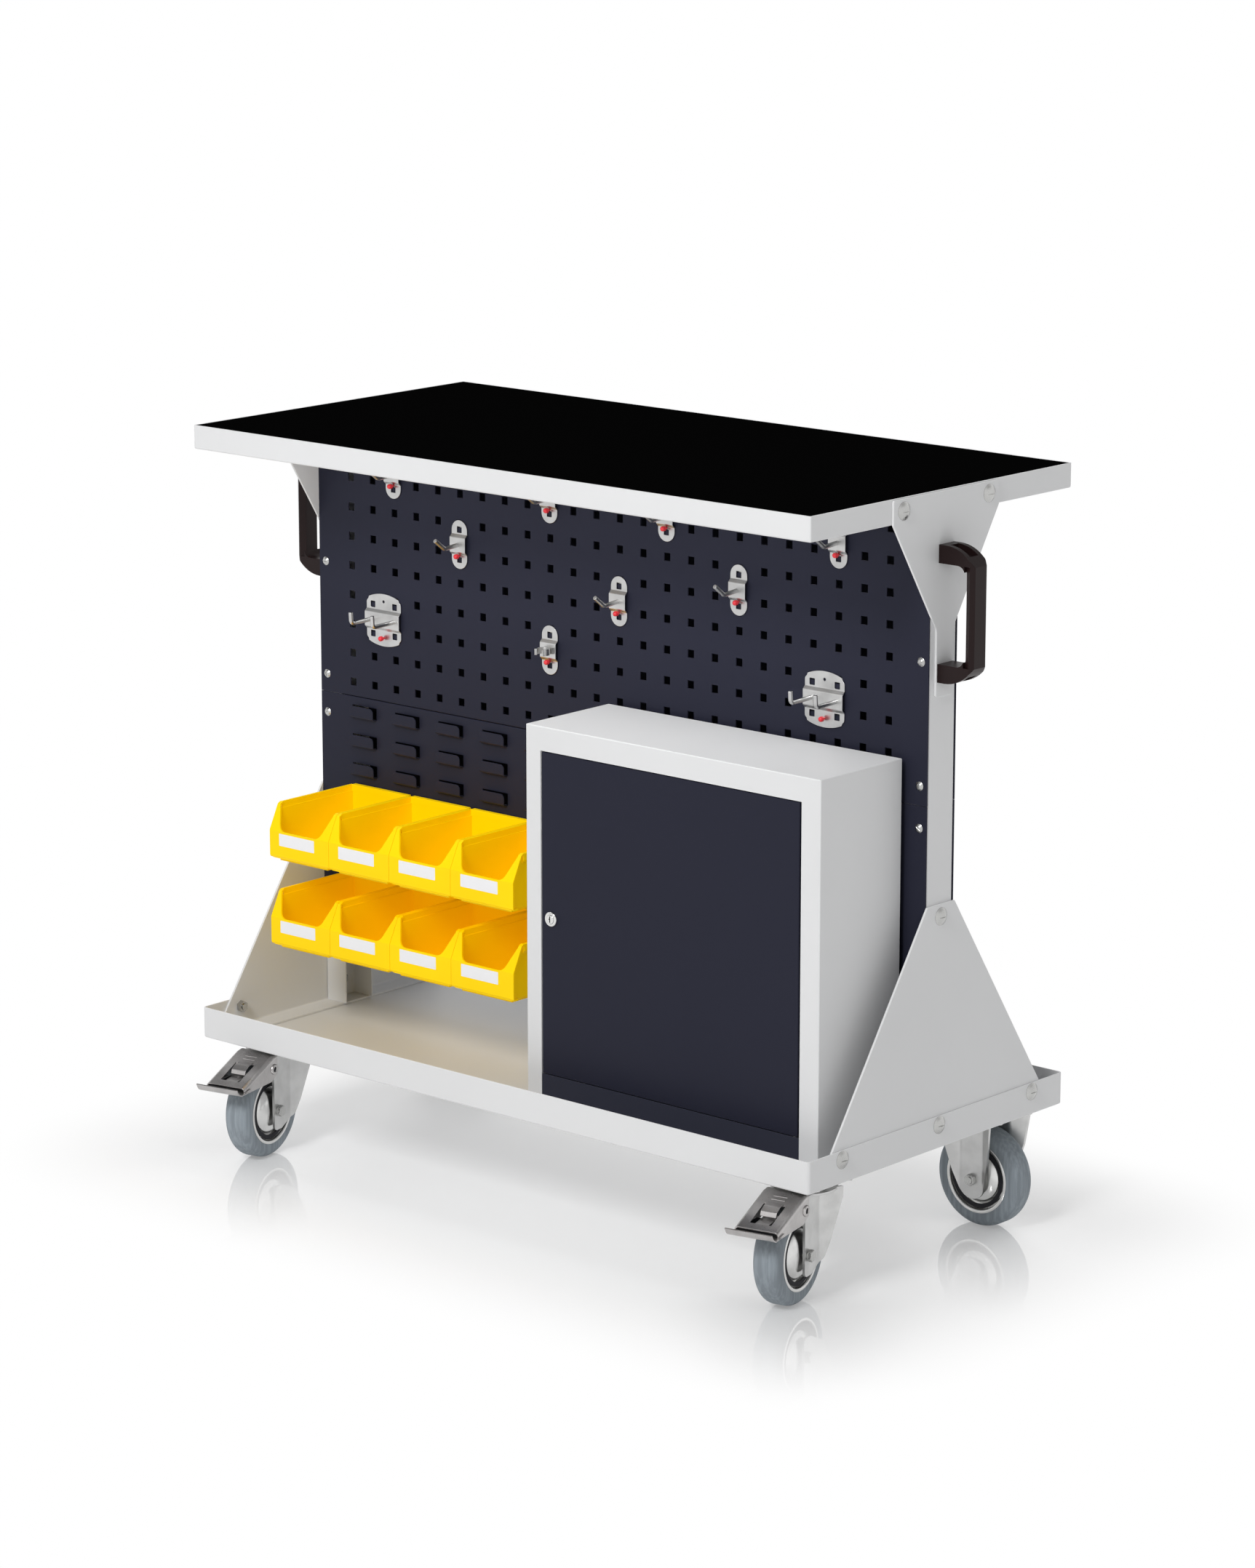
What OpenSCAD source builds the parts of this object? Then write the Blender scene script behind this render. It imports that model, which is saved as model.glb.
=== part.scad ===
// Mobile perforated-panel workbench trolley: worktop, two-sided hole and louvre panels,
// wall cabinet, open-front bins, tool holders and four castors.
// Units are mm. X runs along the bench, -Y is the front, Z = 0 is the floor.

/* [Base tray] */
// Tray length
base_width = 1000; // [800:10:1400]
// Tray depth
base_depth = 490; // [400:10:700]
// Height of the rim
base_rim = 40; // [25:1:60]
// Sheet thickness of the tray
base_sheet = 2; // [1.5:0.5:3]
// Corner radius of the tray
base_corner = 5; // [3:0.5:12]

/* [Uprights] */
// Depth of the upright channel
post_depth = 50; // [40:1:80]
// Flange length of the channel
post_flange = 35; // [25:1:50]
// Sheet thickness of the uprights
post_sheet = 2; // [1.5:0.5:3]

/* [End plates] */
// Thickness of the end plates and gussets
plate_sheet = 3; // [2:0.5:5]
// Half width of the end plate at its top
apex_half = 26; // [20:1:40]
// Height of the end plate top above the floor
apex_z = 449; // [350:1:600]
// Half width of the end plate at the tray floor
foot_half = 225; // [180:1:240]
// Width of the foot flange on the tray floor
foot_flange = 30; // [20:1:60]
// Half width of the gusset at the worktop
gusset_half = 99; // [70:1:160]
// Half width of the gusset strip
gusset_strip = 16; // [14:1:24]
// Height where the gusset taper ends
gusset_taper_z = 779; // [740:1:860]
// Height of the gusset lower end
gusset_low_z = 699; // [650:1:720]

/* [Worktop] */
// Worktop depth
top_depth = 490; // [400:10:700]
// Worktop thickness
top_thick = 30; // [25:1:50]
// Sheet thickness of the worktop frame
top_sheet = 2; // [1.5:0.5:3]
// Mat thickness
mat_thick = 3; // [2:0.5:5]

/* [Panels] */
// Height of one panel
panel_height = 342; // [342:38:342]
// Panel sheet thickness
panel_sheet = 1.5; // [1:0.5:2]
// Pitch of holes and louvre rows
pitch = 38; // [38:1:38]
// Side of the square holes
hole_side = 10; // [8:0.5:12]
// Hole columns
hole_cols = 24; // [12:1:24]
// Hole rows
hole_rows = 9; // [6:1:9]
// Depth of the panel edge returns
panel_return = 12; // [8:1:20]
// Width of a louvre
louvre_width = 43; // [30:1:50]
// Height of a louvre
louvre_height = 16; // [12:1:20]
// How far a louvre stands out
louvre_out = 7; // [6:0.5:10]

/* [Cabinet] */
// Cabinet width
cab_width = 457; // [380:1:460]
// Cabinet depth
cab_depth = 150; // [120:1:200]
// Cabinet height
cab_height = 472.7; // [300:0.1:520]
// Cabinet sheet thickness
cab_sheet = 1.5; // [1:0.5:2]
// Left edge of the cabinet
cab_x = 7; // [0:0.5:40]
// Width of the lock-side stile
stile_lock = 23.5; // [18:0.5:40]
// Width of the hinge-side stile
stile_hinge = 28.5; // [18:0.5:40]
// Height of the top rail
cab_rail = 30; // [20:0.5:50]
// Depth of the door edge returns
door_return = 15; // [12:0.5:25]
// Gap beside the door at the lock
door_gap = 1; // [0.8:0.1:2]
// Gap beside the door at the hinge
hinge_gap = 3; // [2.5:0.1:4]
// Distance of the lock from the opening edge
lock_inset = 17.5; // [15:0.5:30]
// Height of the lock centre
lock_z = 389; // [250:1:560]
// Height of the shelf top
shelf_z = 410; // [250:1:560]

/* [Bins] */
// Pitch of the bins along the rail
bin_pitch = 105; // [105:1:140]
// Bin body length, front to back
bin_depth = 148; // [100:1:180]
// Bin height
bin_height = 74; // [50:1:90]
// Wall thickness of the bins
bin_wall = 2; // [1.5:0.5:3]
// Height of the front wall
bin_front = 40; // [25:1:60]

/* [Castors] */
// Castor height, floor to plate top
castor_height = 150; // [145:1:170]
// Wheel diameter
wheel_dia = 125; // [100:1:125]
// Tyre width
tyre_width = 35; // [25:1:38]
// Distance of swivel axis from the bench centre, along X
castor_x = 437; // [400:1:445]
// Distance of castor axis from the bench centre, along Y
castor_y = 175; // [150:1:190]
// Swivel offset of the wheel
castor_trail = 38; // [25:1:45]
// Angle of the front wheels at rest
castor_turn = 11.5; // [-30:0.5:30]
// Axle bolt diameter
axle_dia = 10; // [8:1:12]

/* [Handles] */
// How far the handle stands out
grip_out = 50.5; // [45:0.5:70]
// Grip thickness
grip_thick = 13; // [11:1:20]
// Grip width
grip_width = 29; // [24:1:36]
// Height of the handle centre
grip_z = 798; // [770:1:810]
// Distance between the handle feet
grip_span = 141; // [120:1:160]

/* [Hidden] */
$fn = 48;
seat = 0.3;
run_fit = 0.05;

// Heights
tray_z = castor_height;
floor_z = tray_z + base_sheet;
rim_z = tray_z + base_rim;
panel_low_z = floor_z + 2 * pitch;
panel_mid_z = panel_low_z + panel_height;
top_z = panel_mid_z + panel_height;
bench_z = top_z + top_thick;
row_z = panel_mid_z + pitch / 2;
col_x = -pitch * (hole_cols - 1) / 2;

// Planes
plate_in = base_width / 2 - base_sheet - plate_sheet;
plate_out = plate_in + plate_sheet;
top_width = 2 * plate_in;
panel_face = post_depth / 2 + panel_sheet;
panel_gap = 0.25;

// Fasteners
bolt_r = 4;
bolt_hole = 4.3;
nut_flat = 13;
nut_high = 6.5;
head_r = 11;
head_high = 4.5;
slot_wide = 2;
slot_deep = 1.5;
screw_r = 2.5;
screw_hole = 2.8;
screw_head_r = 5.5;
screw_head_high = 3;
screw_inset = 11;
rim_bolt_y = 182.5;
rim_bolt_z = tray_z + 29;
apex_bolt_z = apex_z - 15;
gusset_bolt_y = 80;
gusset_bolt_z = top_z + top_thick / 2;
screw_heights = [panel_low_z + 25, panel_low_z + panel_height / 2, panel_mid_z - 27,
                 panel_mid_z + 23.5, panel_mid_z + panel_height / 2, top_z - 26];

// Cabinet
cab_back = -panel_face - louvre_out - seat;
cab_front = cab_back - cab_depth;
cab_bottom = floor_z + seat;
cab_top = cab_bottom + cab_height;
cab_floor = rim_z + 1;
cab_right = cab_x + cab_width;
open_left = cab_x + stile_lock;
open_right = cab_right - stile_hinge;
open_top = cab_top - cab_rail;
frame_return = 12;
door_left = open_left + door_gap;
door_right = open_right - hinge_gap;
door_low = cab_floor + 1.3;
kick_top = door_low - 0.5;
door_high = open_top - 1.2;
door_face = cab_front + 0.5;
hinge_inset = 6;
hinge_x = door_right - hinge_inset;
hinge_y = door_face + hinge_inset;
hinge_r = 3;
boss_r = 5;
boss_long = 12;
lock_x = open_left + lock_inset;
lock_head_r = 9.2;
lock_body_r = 8;
plug_r = 5.5;
cam_y = door_face + door_return + 1.5;

// Castors
plate_long = 105;
plate_wide = 85;
plate_thick = 3;
bolt_span_x = 80;
bolt_span_y = 60;
leg_in = 24;
leg_sheet = 3;
leg_out = leg_in + leg_sheet;
leg_r = 20;
wheel_r = wheel_dia / 2;
crown_z = tray_z - 18;
race_r = 28;
crown_r = 40;
king_r = 6;
rim_r = 43;
pivot_y = -12;
pivot_z = wheel_r + 58;
pivot_r = 3;
pedal_tip = 80;
pedal_low_z = wheel_r + 41;
pedal_fold_z = wheel_r + 50;
pedal_top_z = crown_z + 6;
lip_long = 20;
lip_half = leg_out + 4;
fork_high = 200;
axle_flat = 13;
front_reach = castor_y + (castor_trail + pedal_tip + lip_long) * cos(castor_turn)
              + lip_half * sin(castor_turn);
centre_y = (front_reach - base_depth / 2) / 2;

// Bins
bin_rim = 3;
bin_width = bin_pitch - 2;
bin_back = panel_face + louvre_out + seat;
tongue_top = louvre_height / 2;
bin_hook_z = panel_low_z + pitch / 2 + pitch * 5 + tongue_top;
bin_top = bin_hook_z + 11;
bin_row = 3 * pitch;

// ---------------------------------------------------------------- helpers

// Colours a piece and sets the bench so that its overall box is centred on Y
module tint(shade) {
  translate([0, centre_y, 0]) color(shade) children();
}

module along_x(x0, length) {
  translate([x0, 0, 0]) rotate([90, 0, 90]) linear_extrude(length) children();
}

module along_y(y0, length) {
  translate([0, y0 + length, 0]) rotate([90, 0, 0]) linear_extrude(length) children();
}

module box(x0, x1, y0, y1, z0, z1) {
  translate([x0, y0, z0]) cube([x1 - x0, y1 - y0, z1 - z0]);
}

module rod_x(x0, x1, y, z, r) {
  translate([x0, y, z]) rotate([0, 90, 0]) cylinder(r = r, h = x1 - x0);
}

module rod_y(y0, y1, x, z, r) {
  translate([x, y1, z]) rotate([90, 0, 0]) cylinder(r = r, h = y1 - y0);
}

module rounded(w, h, r) {
  square([w - 2 * r, h], center = true);
  square([w, h - 2 * r], center = true);
  for (sx = [-1, 1], sy = [-1, 1])
    translate([sx * (w / 2 - r), sy * (h / 2 - r)]) circle(r);
}

module dome(r, h) {
  big = (r * r + h * h) / (2 * h);
  rotate_extrude()
    intersection() {
      translate([0, h - big]) circle(big, $fn = 96);
      square([r, h]);
    }
}

module slotted_dome(r, h, slot) {
  difference() {
    dome(r, h);
    translate([-slot / 2, -r, h - slot_deep]) cube([slot, 2 * r, h]);
  }
}

module nut(flat, high) {
  cylinder(d = flat / cos(30), h = high, $fn = 6);
}

module both_ends() {
  children();
  mirror([1, 0, 0]) children();
}

// ---------------------------------------------------------------- frame

module rim_holes(r) {
  for (sy = [-1, 0, 1])
    rod_x(plate_in - 10, base_width / 2 + 1, sy * rim_bolt_y, rim_bolt_z, r);
}

module castor_holes(z0, z1, r) {
  for (sx = [-1, 1], sy = [-1, 1], ax = [-1, 1], ay = [-1, 1])
    translate([sx * castor_x + ax * bolt_span_x / 2, sy * castor_y + ay * bolt_span_y / 2, z0])
      cylinder(r = r, h = z1 - z0);
}

module base_tray() {
  tint("gainsboro")
    difference() {
      translate([0, 0, tray_z])
        linear_extrude(base_rim) rounded(base_width, base_depth, base_corner);
      translate([0, 0, floor_z])
        linear_extrude(base_rim)
          rounded(base_width - 2 * base_sheet, base_depth - 2 * base_sheet,
                  base_corner - base_sheet);
      both_ends() rim_holes(bolt_hole);
      castor_holes(tray_z - 1, floor_z + 1, bolt_hole);
    }
}

module side_plate() {
  difference() {
    union() {
      along_x(plate_in, plate_sheet)
        polygon([[-foot_half, floor_z], [foot_half, floor_z],
                 [apex_half, apex_z], [-apex_half, apex_z]]);
      box(plate_out - foot_flange - plate_sheet, plate_out,
          -foot_half, foot_half, floor_z, floor_z + plate_sheet);
    }
    rim_holes(bolt_hole);
    rod_x(plate_in - 10, plate_out + 1, 0, apex_bolt_z, bolt_hole);
    castor_holes(floor_z - 1, floor_z + plate_sheet + 1, bolt_hole);
  }
}

module side_plate_right() {
  tint("silver") side_plate();
}

module side_plate_left() {
  tint("silver") mirror([1, 0, 0]) side_plate();
}

module post() {
  base = floor_z + plate_sheet;
  half = post_depth / 2;
  difference() {
    box(plate_in - post_flange, plate_in, -half, half, base, top_z);
    box(plate_in - post_flange - 1, plate_in - post_sheet,
        -half + post_sheet, half - post_sheet, base - 1, top_z + 1);
    rod_x(plate_in - 10, plate_in + 1, 0, rim_bolt_z, bolt_hole);
    rod_x(plate_in - 10, plate_in + 1, 0, apex_bolt_z, bolt_hole);
    for (s = [-1, 1])
      rod_x(plate_in - 10, plate_in + 1, 0, grip_z + s * grip_span / 2, screw_hole + 0.5);
    for (z = screw_heights)
      rod_y(-half - 1, half + 1, plate_in - screw_inset, z, screw_hole);
  }
}

module post_right() {
  tint("gainsboro") post();
}

module post_left() {
  tint("gainsboro") mirror([1, 0, 0]) post();
}

module gusset() {
  difference() {
    along_x(plate_in, plate_sheet)
      polygon([[-gusset_half, bench_z - 1], [-gusset_half, top_z],
               [-gusset_strip, gusset_taper_z], [-gusset_strip, gusset_low_z],
               [gusset_strip, gusset_low_z], [gusset_strip, gusset_taper_z],
               [gusset_half, top_z], [gusset_half, bench_z - 1]]);
    for (s = [-1, 1]) {
      rod_x(plate_in - 1, plate_out + 1, s * gusset_bolt_y, gusset_bolt_z, bolt_hole);
      rod_x(plate_in - 1, plate_out + 1, 0, grip_z + s * grip_span / 2, screw_hole + 0.5);
    }
  }
}

module gusset_right() {
  tint("gainsboro") gusset();
}

module gusset_left() {
  tint("gainsboro") mirror([1, 0, 0]) gusset();
}

// ---------------------------------------------------------------- worktop

module gusset_bores(x0, x1, r) {
  for (s = [-1, 1])
    rod_x(x0, x1, s * gusset_bolt_y, gusset_bolt_z, r);
}

module worktop_frame() {
  wall = top_sheet;
  tint("gainsboro")
    difference() {
      box(-top_width / 2, top_width / 2, -top_depth / 2, top_depth / 2, top_z, bench_z);
      box(-top_width / 2 + wall, top_width / 2 - wall,
          -top_depth / 2 + wall, top_depth / 2 - wall, top_z + wall, bench_z + 1);
      both_ends() gusset_bores(top_width / 2 - wall - 1, top_width / 2 + 1, bolt_hole);
    }
}

module worktop_board() {
  half_x = top_width / 2 - top_sheet - seat;
  half_y = top_depth / 2 - top_sheet - seat;
  pocket = 12;
  tint("burlywood")
    difference() {
      box(-half_x, half_x, -half_y, half_y, top_z + top_sheet, bench_z - mat_thick);
      for (sx = [-1, 1], sy = [-1, 1])
        translate([sx * half_x, sy * gusset_bolt_y, gusset_bolt_z])
          cube([2 * pocket, 20, 20], center = true);
    }
}

module worktop_mat() {
  half_x = top_width / 2 - top_sheet - seat;
  half_y = top_depth / 2 - top_sheet - seat;
  tint("black")
    box(-half_x, half_x, -half_y, half_y, bench_z - mat_thick, bench_z);
}

// ---------------------------------------------------------------- panels

module panel_sheet_2d(z0, z1) {
  difference() {
    translate([-top_width / 2, z0]) square([top_width, z1 - z0]);
    for (z = screw_heights)
      if (z > z0 && z < z1)
        for (s = [-1, 1])
          translate([s * (plate_in - screw_inset), z]) circle(screw_hole);
  }
}

module panel_returns(z0, z1) {
  half = plate_in - post_flange - 1;
  for (z = [z0, z1 - panel_sheet])
    box(-half, half, -panel_face + panel_sheet / 2, -post_depth / 2 + panel_return,
        z, z + panel_sheet);
}

module hole_panel() {
  z0 = panel_mid_z + panel_gap;
  z1 = top_z - panel_gap;
  along_y(-panel_face, panel_sheet)
    difference() {
      panel_sheet_2d(z0, z1);
      for (i = [0 : hole_cols - 1], j = [0 : hole_rows - 1])
        translate([col_x + i * pitch, row_z + j * pitch])
          square(hole_side, center = true);
    }
  panel_returns(z0, z1);
}

module tongue() {
  half = louvre_height / 2;
  t = panel_sheet;
  round_r = 6;
  intersection() {
    along_x(-louvre_width / 2 + 0.5, louvre_width - 1)
      polygon([[t, -half - 1.5], [0, -half - 1.5], [-louvre_out, -half + 5.5],
               [-louvre_out, half], [t - louvre_out, half], [t - louvre_out, -half + 6.2],
               [t, -half - 0.8]]);
    along_y(-louvre_out - 1, louvre_out + 4)
      translate([0, -half]) rounded(louvre_width, 4 * half, round_r);
  }
}

module louvre_panel() {
  z0 = panel_low_z + panel_gap;
  z1 = panel_mid_z - panel_gap;
  along_y(-panel_face, panel_sheet)
    difference() {
      panel_sheet_2d(z0, z1);
      for (i = [0 : hole_cols / 2 - 1], j = [0 : hole_rows - 1])
        translate([col_x + pitch / 2 + i * 2 * pitch, panel_low_z + pitch / 2 + j * pitch])
          square([louvre_width, louvre_height], center = true);
    }
  for (i = [0 : hole_cols / 2 - 1], j = [0 : hole_rows - 1])
    translate([col_x + pitch / 2 + i * 2 * pitch, -panel_face,
               panel_low_z + pitch / 2 + j * pitch])
      tongue();
  panel_returns(z0, z1);
}

module front_hole_panel() {
  tint("darkslategray") hole_panel();
}

module front_louvre_panel() {
  tint("darkslategray") louvre_panel();
}

module rear_hole_panel() {
  tint("darkslategray") mirror([0, 1, 0]) hole_panel();
}

module rear_louvre_panel() {
  tint("darkslategray") mirror([0, 1, 0]) louvre_panel();
}

module panel_screw() {
  rotate([90, 0, 0]) {
    slotted_dome(screw_head_r, screw_head_high, 1.2);
    translate([0, 0, -8]) cylinder(r = screw_r, h = 8.2);
  }
}

module panel_screws() {
  tint("white")
    for (sx = [-1, 1], z = screw_heights) {
      translate([sx * (plate_in - screw_inset), -panel_face, z]) panel_screw();
      mirror([0, 1, 0])
        translate([sx * (plate_in - screw_inset), -panel_face, z]) panel_screw();
    }
}

// ---------------------------------------------------------------- bolts

module cup_bolt(x, y, z, long) {
  translate([x, y, z]) rotate([0, 90, 0]) slotted_dome(head_r, head_high, slot_wide);
  rod_x(x - long, x + 0.2, y, z, bolt_r);
}

module side_nut(x, y, z) {
  translate([x - nut_high, y, z]) rotate([0, 90, 0])
    difference() {
      nut(nut_flat, nut_high);
      translate([0, 0, -1]) cylinder(r = bolt_r + run_fit, h = nut_high + 2);
    }
}

module frame_bolts() {
  tint("whitesmoke")
    both_ends() {
      for (s = [-1, 0, 1])
        cup_bolt(base_width / 2, s * rim_bolt_y, rim_bolt_z, s == 0 ? 15.5 : 13.5);
      cup_bolt(plate_out, 0, apex_bolt_z, 13.5);
      for (s = [-1, 1])
        cup_bolt(plate_out, s * gusset_bolt_y, gusset_bolt_z, 13.5);
    }
}

module frame_nuts() {
  tint("silver")
    both_ends() {
      for (s = [-1, 1])
        side_nut(plate_in, s * rim_bolt_y, rim_bolt_z);
      side_nut(plate_in - post_sheet, 0, rim_bolt_z);
      side_nut(plate_in - post_sheet, 0, apex_bolt_z);
      for (s = [-1, 1])
        side_nut(plate_in - top_sheet, s * gusset_bolt_y, gusset_bolt_z);
    }
}

// ---------------------------------------------------------------- handles

grip_half = grip_span / 2 + 10.8;
grip_open = grip_span / 2 - 11;
arm_flat = 10;
arm_bow = 48.6;

module bow_2d(inset) {
  for (s = [-1, 1])
    translate([arm_flat, s * (grip_half - arm_bow)]) circle(arm_bow - inset, $fn = 96);
}

module handle_2d() {
  round_in = 10;
  difference() {
    intersection() {
      translate([0, -grip_half]) square([grip_out, 2 * grip_half]);
      union() {
        translate([0, -grip_half]) square([arm_flat, 2 * grip_half]);
        bow_2d(0);
        translate([0, arm_bow - grip_half])
          square([grip_out, 2 * (grip_half - arm_bow)]);
      }
    }
    translate([-grip_thick, 0]) rounded(2 * grip_out, 2 * grip_open, round_in);
  }
}

// Long faces of the grip, cut down to its outer and inner flats
module grip_facets() {
  half = grip_width / 2;
  outer = [[grip_out - 5, half], [grip_out + 0.5, half - 3.9],
           [grip_out + 0.5, half + 1], [grip_out - 5, half + 1]];
  inner = [[grip_out - grip_thick - 0.5, half - 4.8], [grip_out - 5, half],
           [grip_out - 5, half + 1], [grip_out - grip_thick - 0.5, half + 1]];
  for (s = [0, 1])
    mirror([0, s, 0]) {
      translate([0, 0, -grip_half]) linear_extrude(2 * grip_half) polygon(outer);
      translate([0, 0, -grip_open]) linear_extrude(2 * grip_open) polygon(inner);
    }
}

// Hollow in the outside of both arms
module arm_hollows() {
  along_y(-7.5, 15)
    difference() {
      for (s = [-1, 1])
        translate([arm_flat, s > 0 ? 56 : -96]) square([grip_out - 16, 40]);
      bow_2d(8);
    }
}

module handle() {
  difference() {
    translate([plate_out, 0, grip_z])
      difference() {
        along_y(-grip_width / 2, grip_width) handle_2d();
        grip_facets();
        arm_hollows();
      }
    for (s = [-1, 1])
      rod_x(plate_out - 1, plate_out + 14, 0, grip_z + s * grip_span / 2, screw_r + run_fit);
  }
}

module handle_right() {
  tint("black") handle();
}

module handle_left() {
  tint("black") mirror([1, 0, 0]) handle();
}

module handle_screws() {
  tint("silver")
    both_ends()
      for (s = [-1, 1]) {
        z = grip_z + s * grip_span / 2;
        rod_x(plate_in - post_sheet - 0.2, plate_out + 12, 0, z, screw_r);
        translate([plate_in - post_sheet, 0, z]) rotate([0, -90, 0])
          dome(screw_head_r, screw_head_high);
      }
}

// ---------------------------------------------------------------- cabinet

module cabinet_body() {
  s = cab_sheet;
  tint("gainsboro") {
    difference() {
      box(cab_x, cab_right, cab_front, cab_back, cab_bottom, cab_top);
      box(cab_x + s, cab_right - s, cab_front + s, cab_back - s, cab_bottom - 1, cab_top - s);
      box(open_left, open_right, cab_front - 1, cab_front + s + 1, cab_bottom - 1, open_top);
    }
    box(cab_x + s / 2, cab_right - s / 2, cab_front + 2 * s, cab_back - s / 2,
        cab_floor - s, cab_floor);
    box(open_left - s, open_left, cab_front + s / 2, cab_front + frame_return,
        cab_bottom, open_top + s);
    box(open_right, open_right + s, cab_front + s / 2, cab_front + frame_return,
        cab_bottom, open_top + s);
    difference() {
      box(open_left - s, open_right + s, cab_front + s / 2, cab_front + frame_return + 4,
          open_top, open_top + s);
      translate([hinge_x, hinge_y, open_top - 1]) cylinder(r = hinge_r + run_fit, h = s + 2);
    }
  }
}

module kick_plate() {
  s = cab_sheet;
  tint("darkslategray") {
    box(open_left + 0.5, open_right - 0.5, door_face, door_face + s,
        cab_bottom, kick_top);
    box(open_left + 0.5, open_right - 0.5, door_face + s / 2, door_face + 14,
        cab_bottom, cab_bottom + s);
  }
}

module cabinet_shelf() {
  s = cab_sheet;
  lip = 12;
  y0 = cab_front + 22;
  y1 = cab_back - s - 1;
  x0 = cab_x + s + 1;
  x1 = cab_right - s - 1;
  tint("gainsboro") {
    box(x0, x1, y0, y1, shelf_z - s, shelf_z);
    box(x0, x1, y0, y0 + s, shelf_z - lip, shelf_z);
    box(x0, x1, y1 - s, y1, shelf_z - lip, shelf_z);
  }
}

module shelf_pin(y) {
  s = cab_sheet;
  box(cab_x + s, cab_x + s + 9, y - 6, y + 6, shelf_z - s - 2, shelf_z - s - 0.2);
  box(cab_x + s, cab_x + s + 1.5, y - 6, y + 6, shelf_z - s - 14, shelf_z - s - 0.2);
}

module cabinet_pins() {
  mid = cab_x + cab_width / 2;
  tint("silver") {
    translate([hinge_x, hinge_y, cab_floor]) {
      cylinder(r = hinge_r + 1.2, h = 1);
      cylinder(r = hinge_r, h = 10);
    }
    translate([hinge_x, hinge_y, door_high - 9]) cylinder(r = hinge_r, h = 16);
    translate([hinge_x, hinge_y, open_top + cab_sheet]) cylinder(r = boss_r, h = 2);
    for (y = [cab_front + 45, cab_back - 30]) {
      shelf_pin(y);
      translate([2 * mid, 0, 0]) mirror([1, 0, 0]) shelf_pin(y);
    }
  }
}

module cabinet_door() {
  s = cab_sheet;
  tint("darkslategray")
    difference() {
      union() {
        difference() {
          box(door_left, door_right, door_face, door_face + door_return, door_low, door_high);
          box(door_left + s, door_right - s, door_face + s, door_face + door_return + 1,
              door_low + s, door_high - s);
        }
        translate([hinge_x, hinge_y, door_low]) cylinder(r = boss_r, h = boss_long);
        translate([hinge_x, hinge_y, door_high - boss_long])
          cylinder(r = boss_r, h = boss_long);
      }
      translate([hinge_x, hinge_y, door_low - 1])
        cylinder(r = hinge_r + run_fit, h = boss_long + 2);
      translate([hinge_x, hinge_y, door_high - boss_long - 1])
        cylinder(r = hinge_r + run_fit, h = boss_long + 2);
      rod_y(door_face - 1, door_face + s + 1, lock_x, lock_z, lock_body_r + 0.1);
    }
}

module lock_barrel() {
  tint("silver")
    difference() {
      union() {
        rod_y(door_face - 3.5, door_face, lock_x, lock_z, lock_head_r);
        rod_y(door_face - 1, door_face + door_return, lock_x, lock_z, lock_body_r);
        rod_y(door_face + cab_sheet, door_face + cab_sheet + 3, lock_x, lock_z,
              lock_body_r + 2);
      }
      rod_y(door_face - 5, door_face + door_return + 1, lock_x, lock_z, plug_r + run_fit);
    }
}

module lock_plug() {
  tint("gray")
    difference() {
      union() {
        rod_y(door_face - 4.2, cam_y + 0.5, lock_x, lock_z, plug_r);
        box(lock_x - 5, lock_x + 5, cam_y, cam_y + 2, lock_z - 30, lock_z + 7);
      }
      box(lock_x - 0.8, lock_x + 0.8, door_face - 5, door_face + 6, lock_z - 4, lock_z + 4);
    }
}

// ---------------------------------------------------------------- tool holders

hook_back = -panel_face - seat;
hook_sheet = 1.5;
band_out = 4;
hook_drop = 7;
hook_clear = 10;
double_high = 68;
wire_r = 2.75;

module hook_section(low, high) {
  mid = (low + high) / 2;
  b = -hook_sheet;
  polygon([[0, low], [b, low], [b, mid - 13], [b - band_out, mid - 9],
           [b - band_out, mid + 9], [b, mid + 13], [b, high], [0, high],
           [0, mid + 13.6], [-band_out, mid + 9.6], [-band_out, mid - 9.6], [0, mid - 13.6]]);
}

module hook_tab(x, z) {
  side = 7;
  translate([x - side / 2, -0.4, z - side / 2])
    cube([side, seat + panel_sheet + 2.4, 2]);
  translate([x - side / 2, seat + panel_sheet + 0.4, z - side / 2 - 5])
    cube([side, 1.6, 7]);
}

module hook_plate(wide, high, cols) {
  difference() {
    intersection() {
      along_x(-wide / 2, wide) hook_section(-high / 2, high / 2);
      along_y(-10, 12) children();
    }
    for (x = cols, s = [-1, 1])
      translate([x - 4, -10, s * pitch / 2 - 4]) cube([8, 12, 8]);
  }
  for (x = cols, s = [-1, 1])
    hook_tab(x, s * pitch / 2 + hook_drop);
}

module wire(y0, z0, y1, z1) {
  run = sqrt((y1 - y0) * (y1 - y0) + (z1 - z0) * (z1 - z0));
  tilt = atan2(z1 - z0, y0 - y1);
  translate([0, y0, z0]) rotate([90 - tilt, 0, 0]) cylinder(r = wire_r, h = run, $fn = 24);
  translate([0, y1, z1]) sphere(wire_r, $fn = 24);
}

module single_hook() {
  root = -hook_sheet - band_out + 1;
  wide = 26;
  high = 62;
  hook_plate(wide, high, [0]) rounded(wide, high, wide / 2 - 0.1);
  wire(root, 0, root - 24, -2);
  wire(root - 24, -2, root - 41, 11);
}

// Plate outline with straight sides and arched ends
module arched(wide, high, end) {
  r = (pow(wide / 2, 2) + pow(high / 2 - end, 2)) / (2 * (high / 2 - end));
  intersection() {
    rounded(wide, high, 12);
    translate([0, high / 2 - r]) circle(r);
    translate([0, r - high / 2]) circle(r);
  }
}

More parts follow.
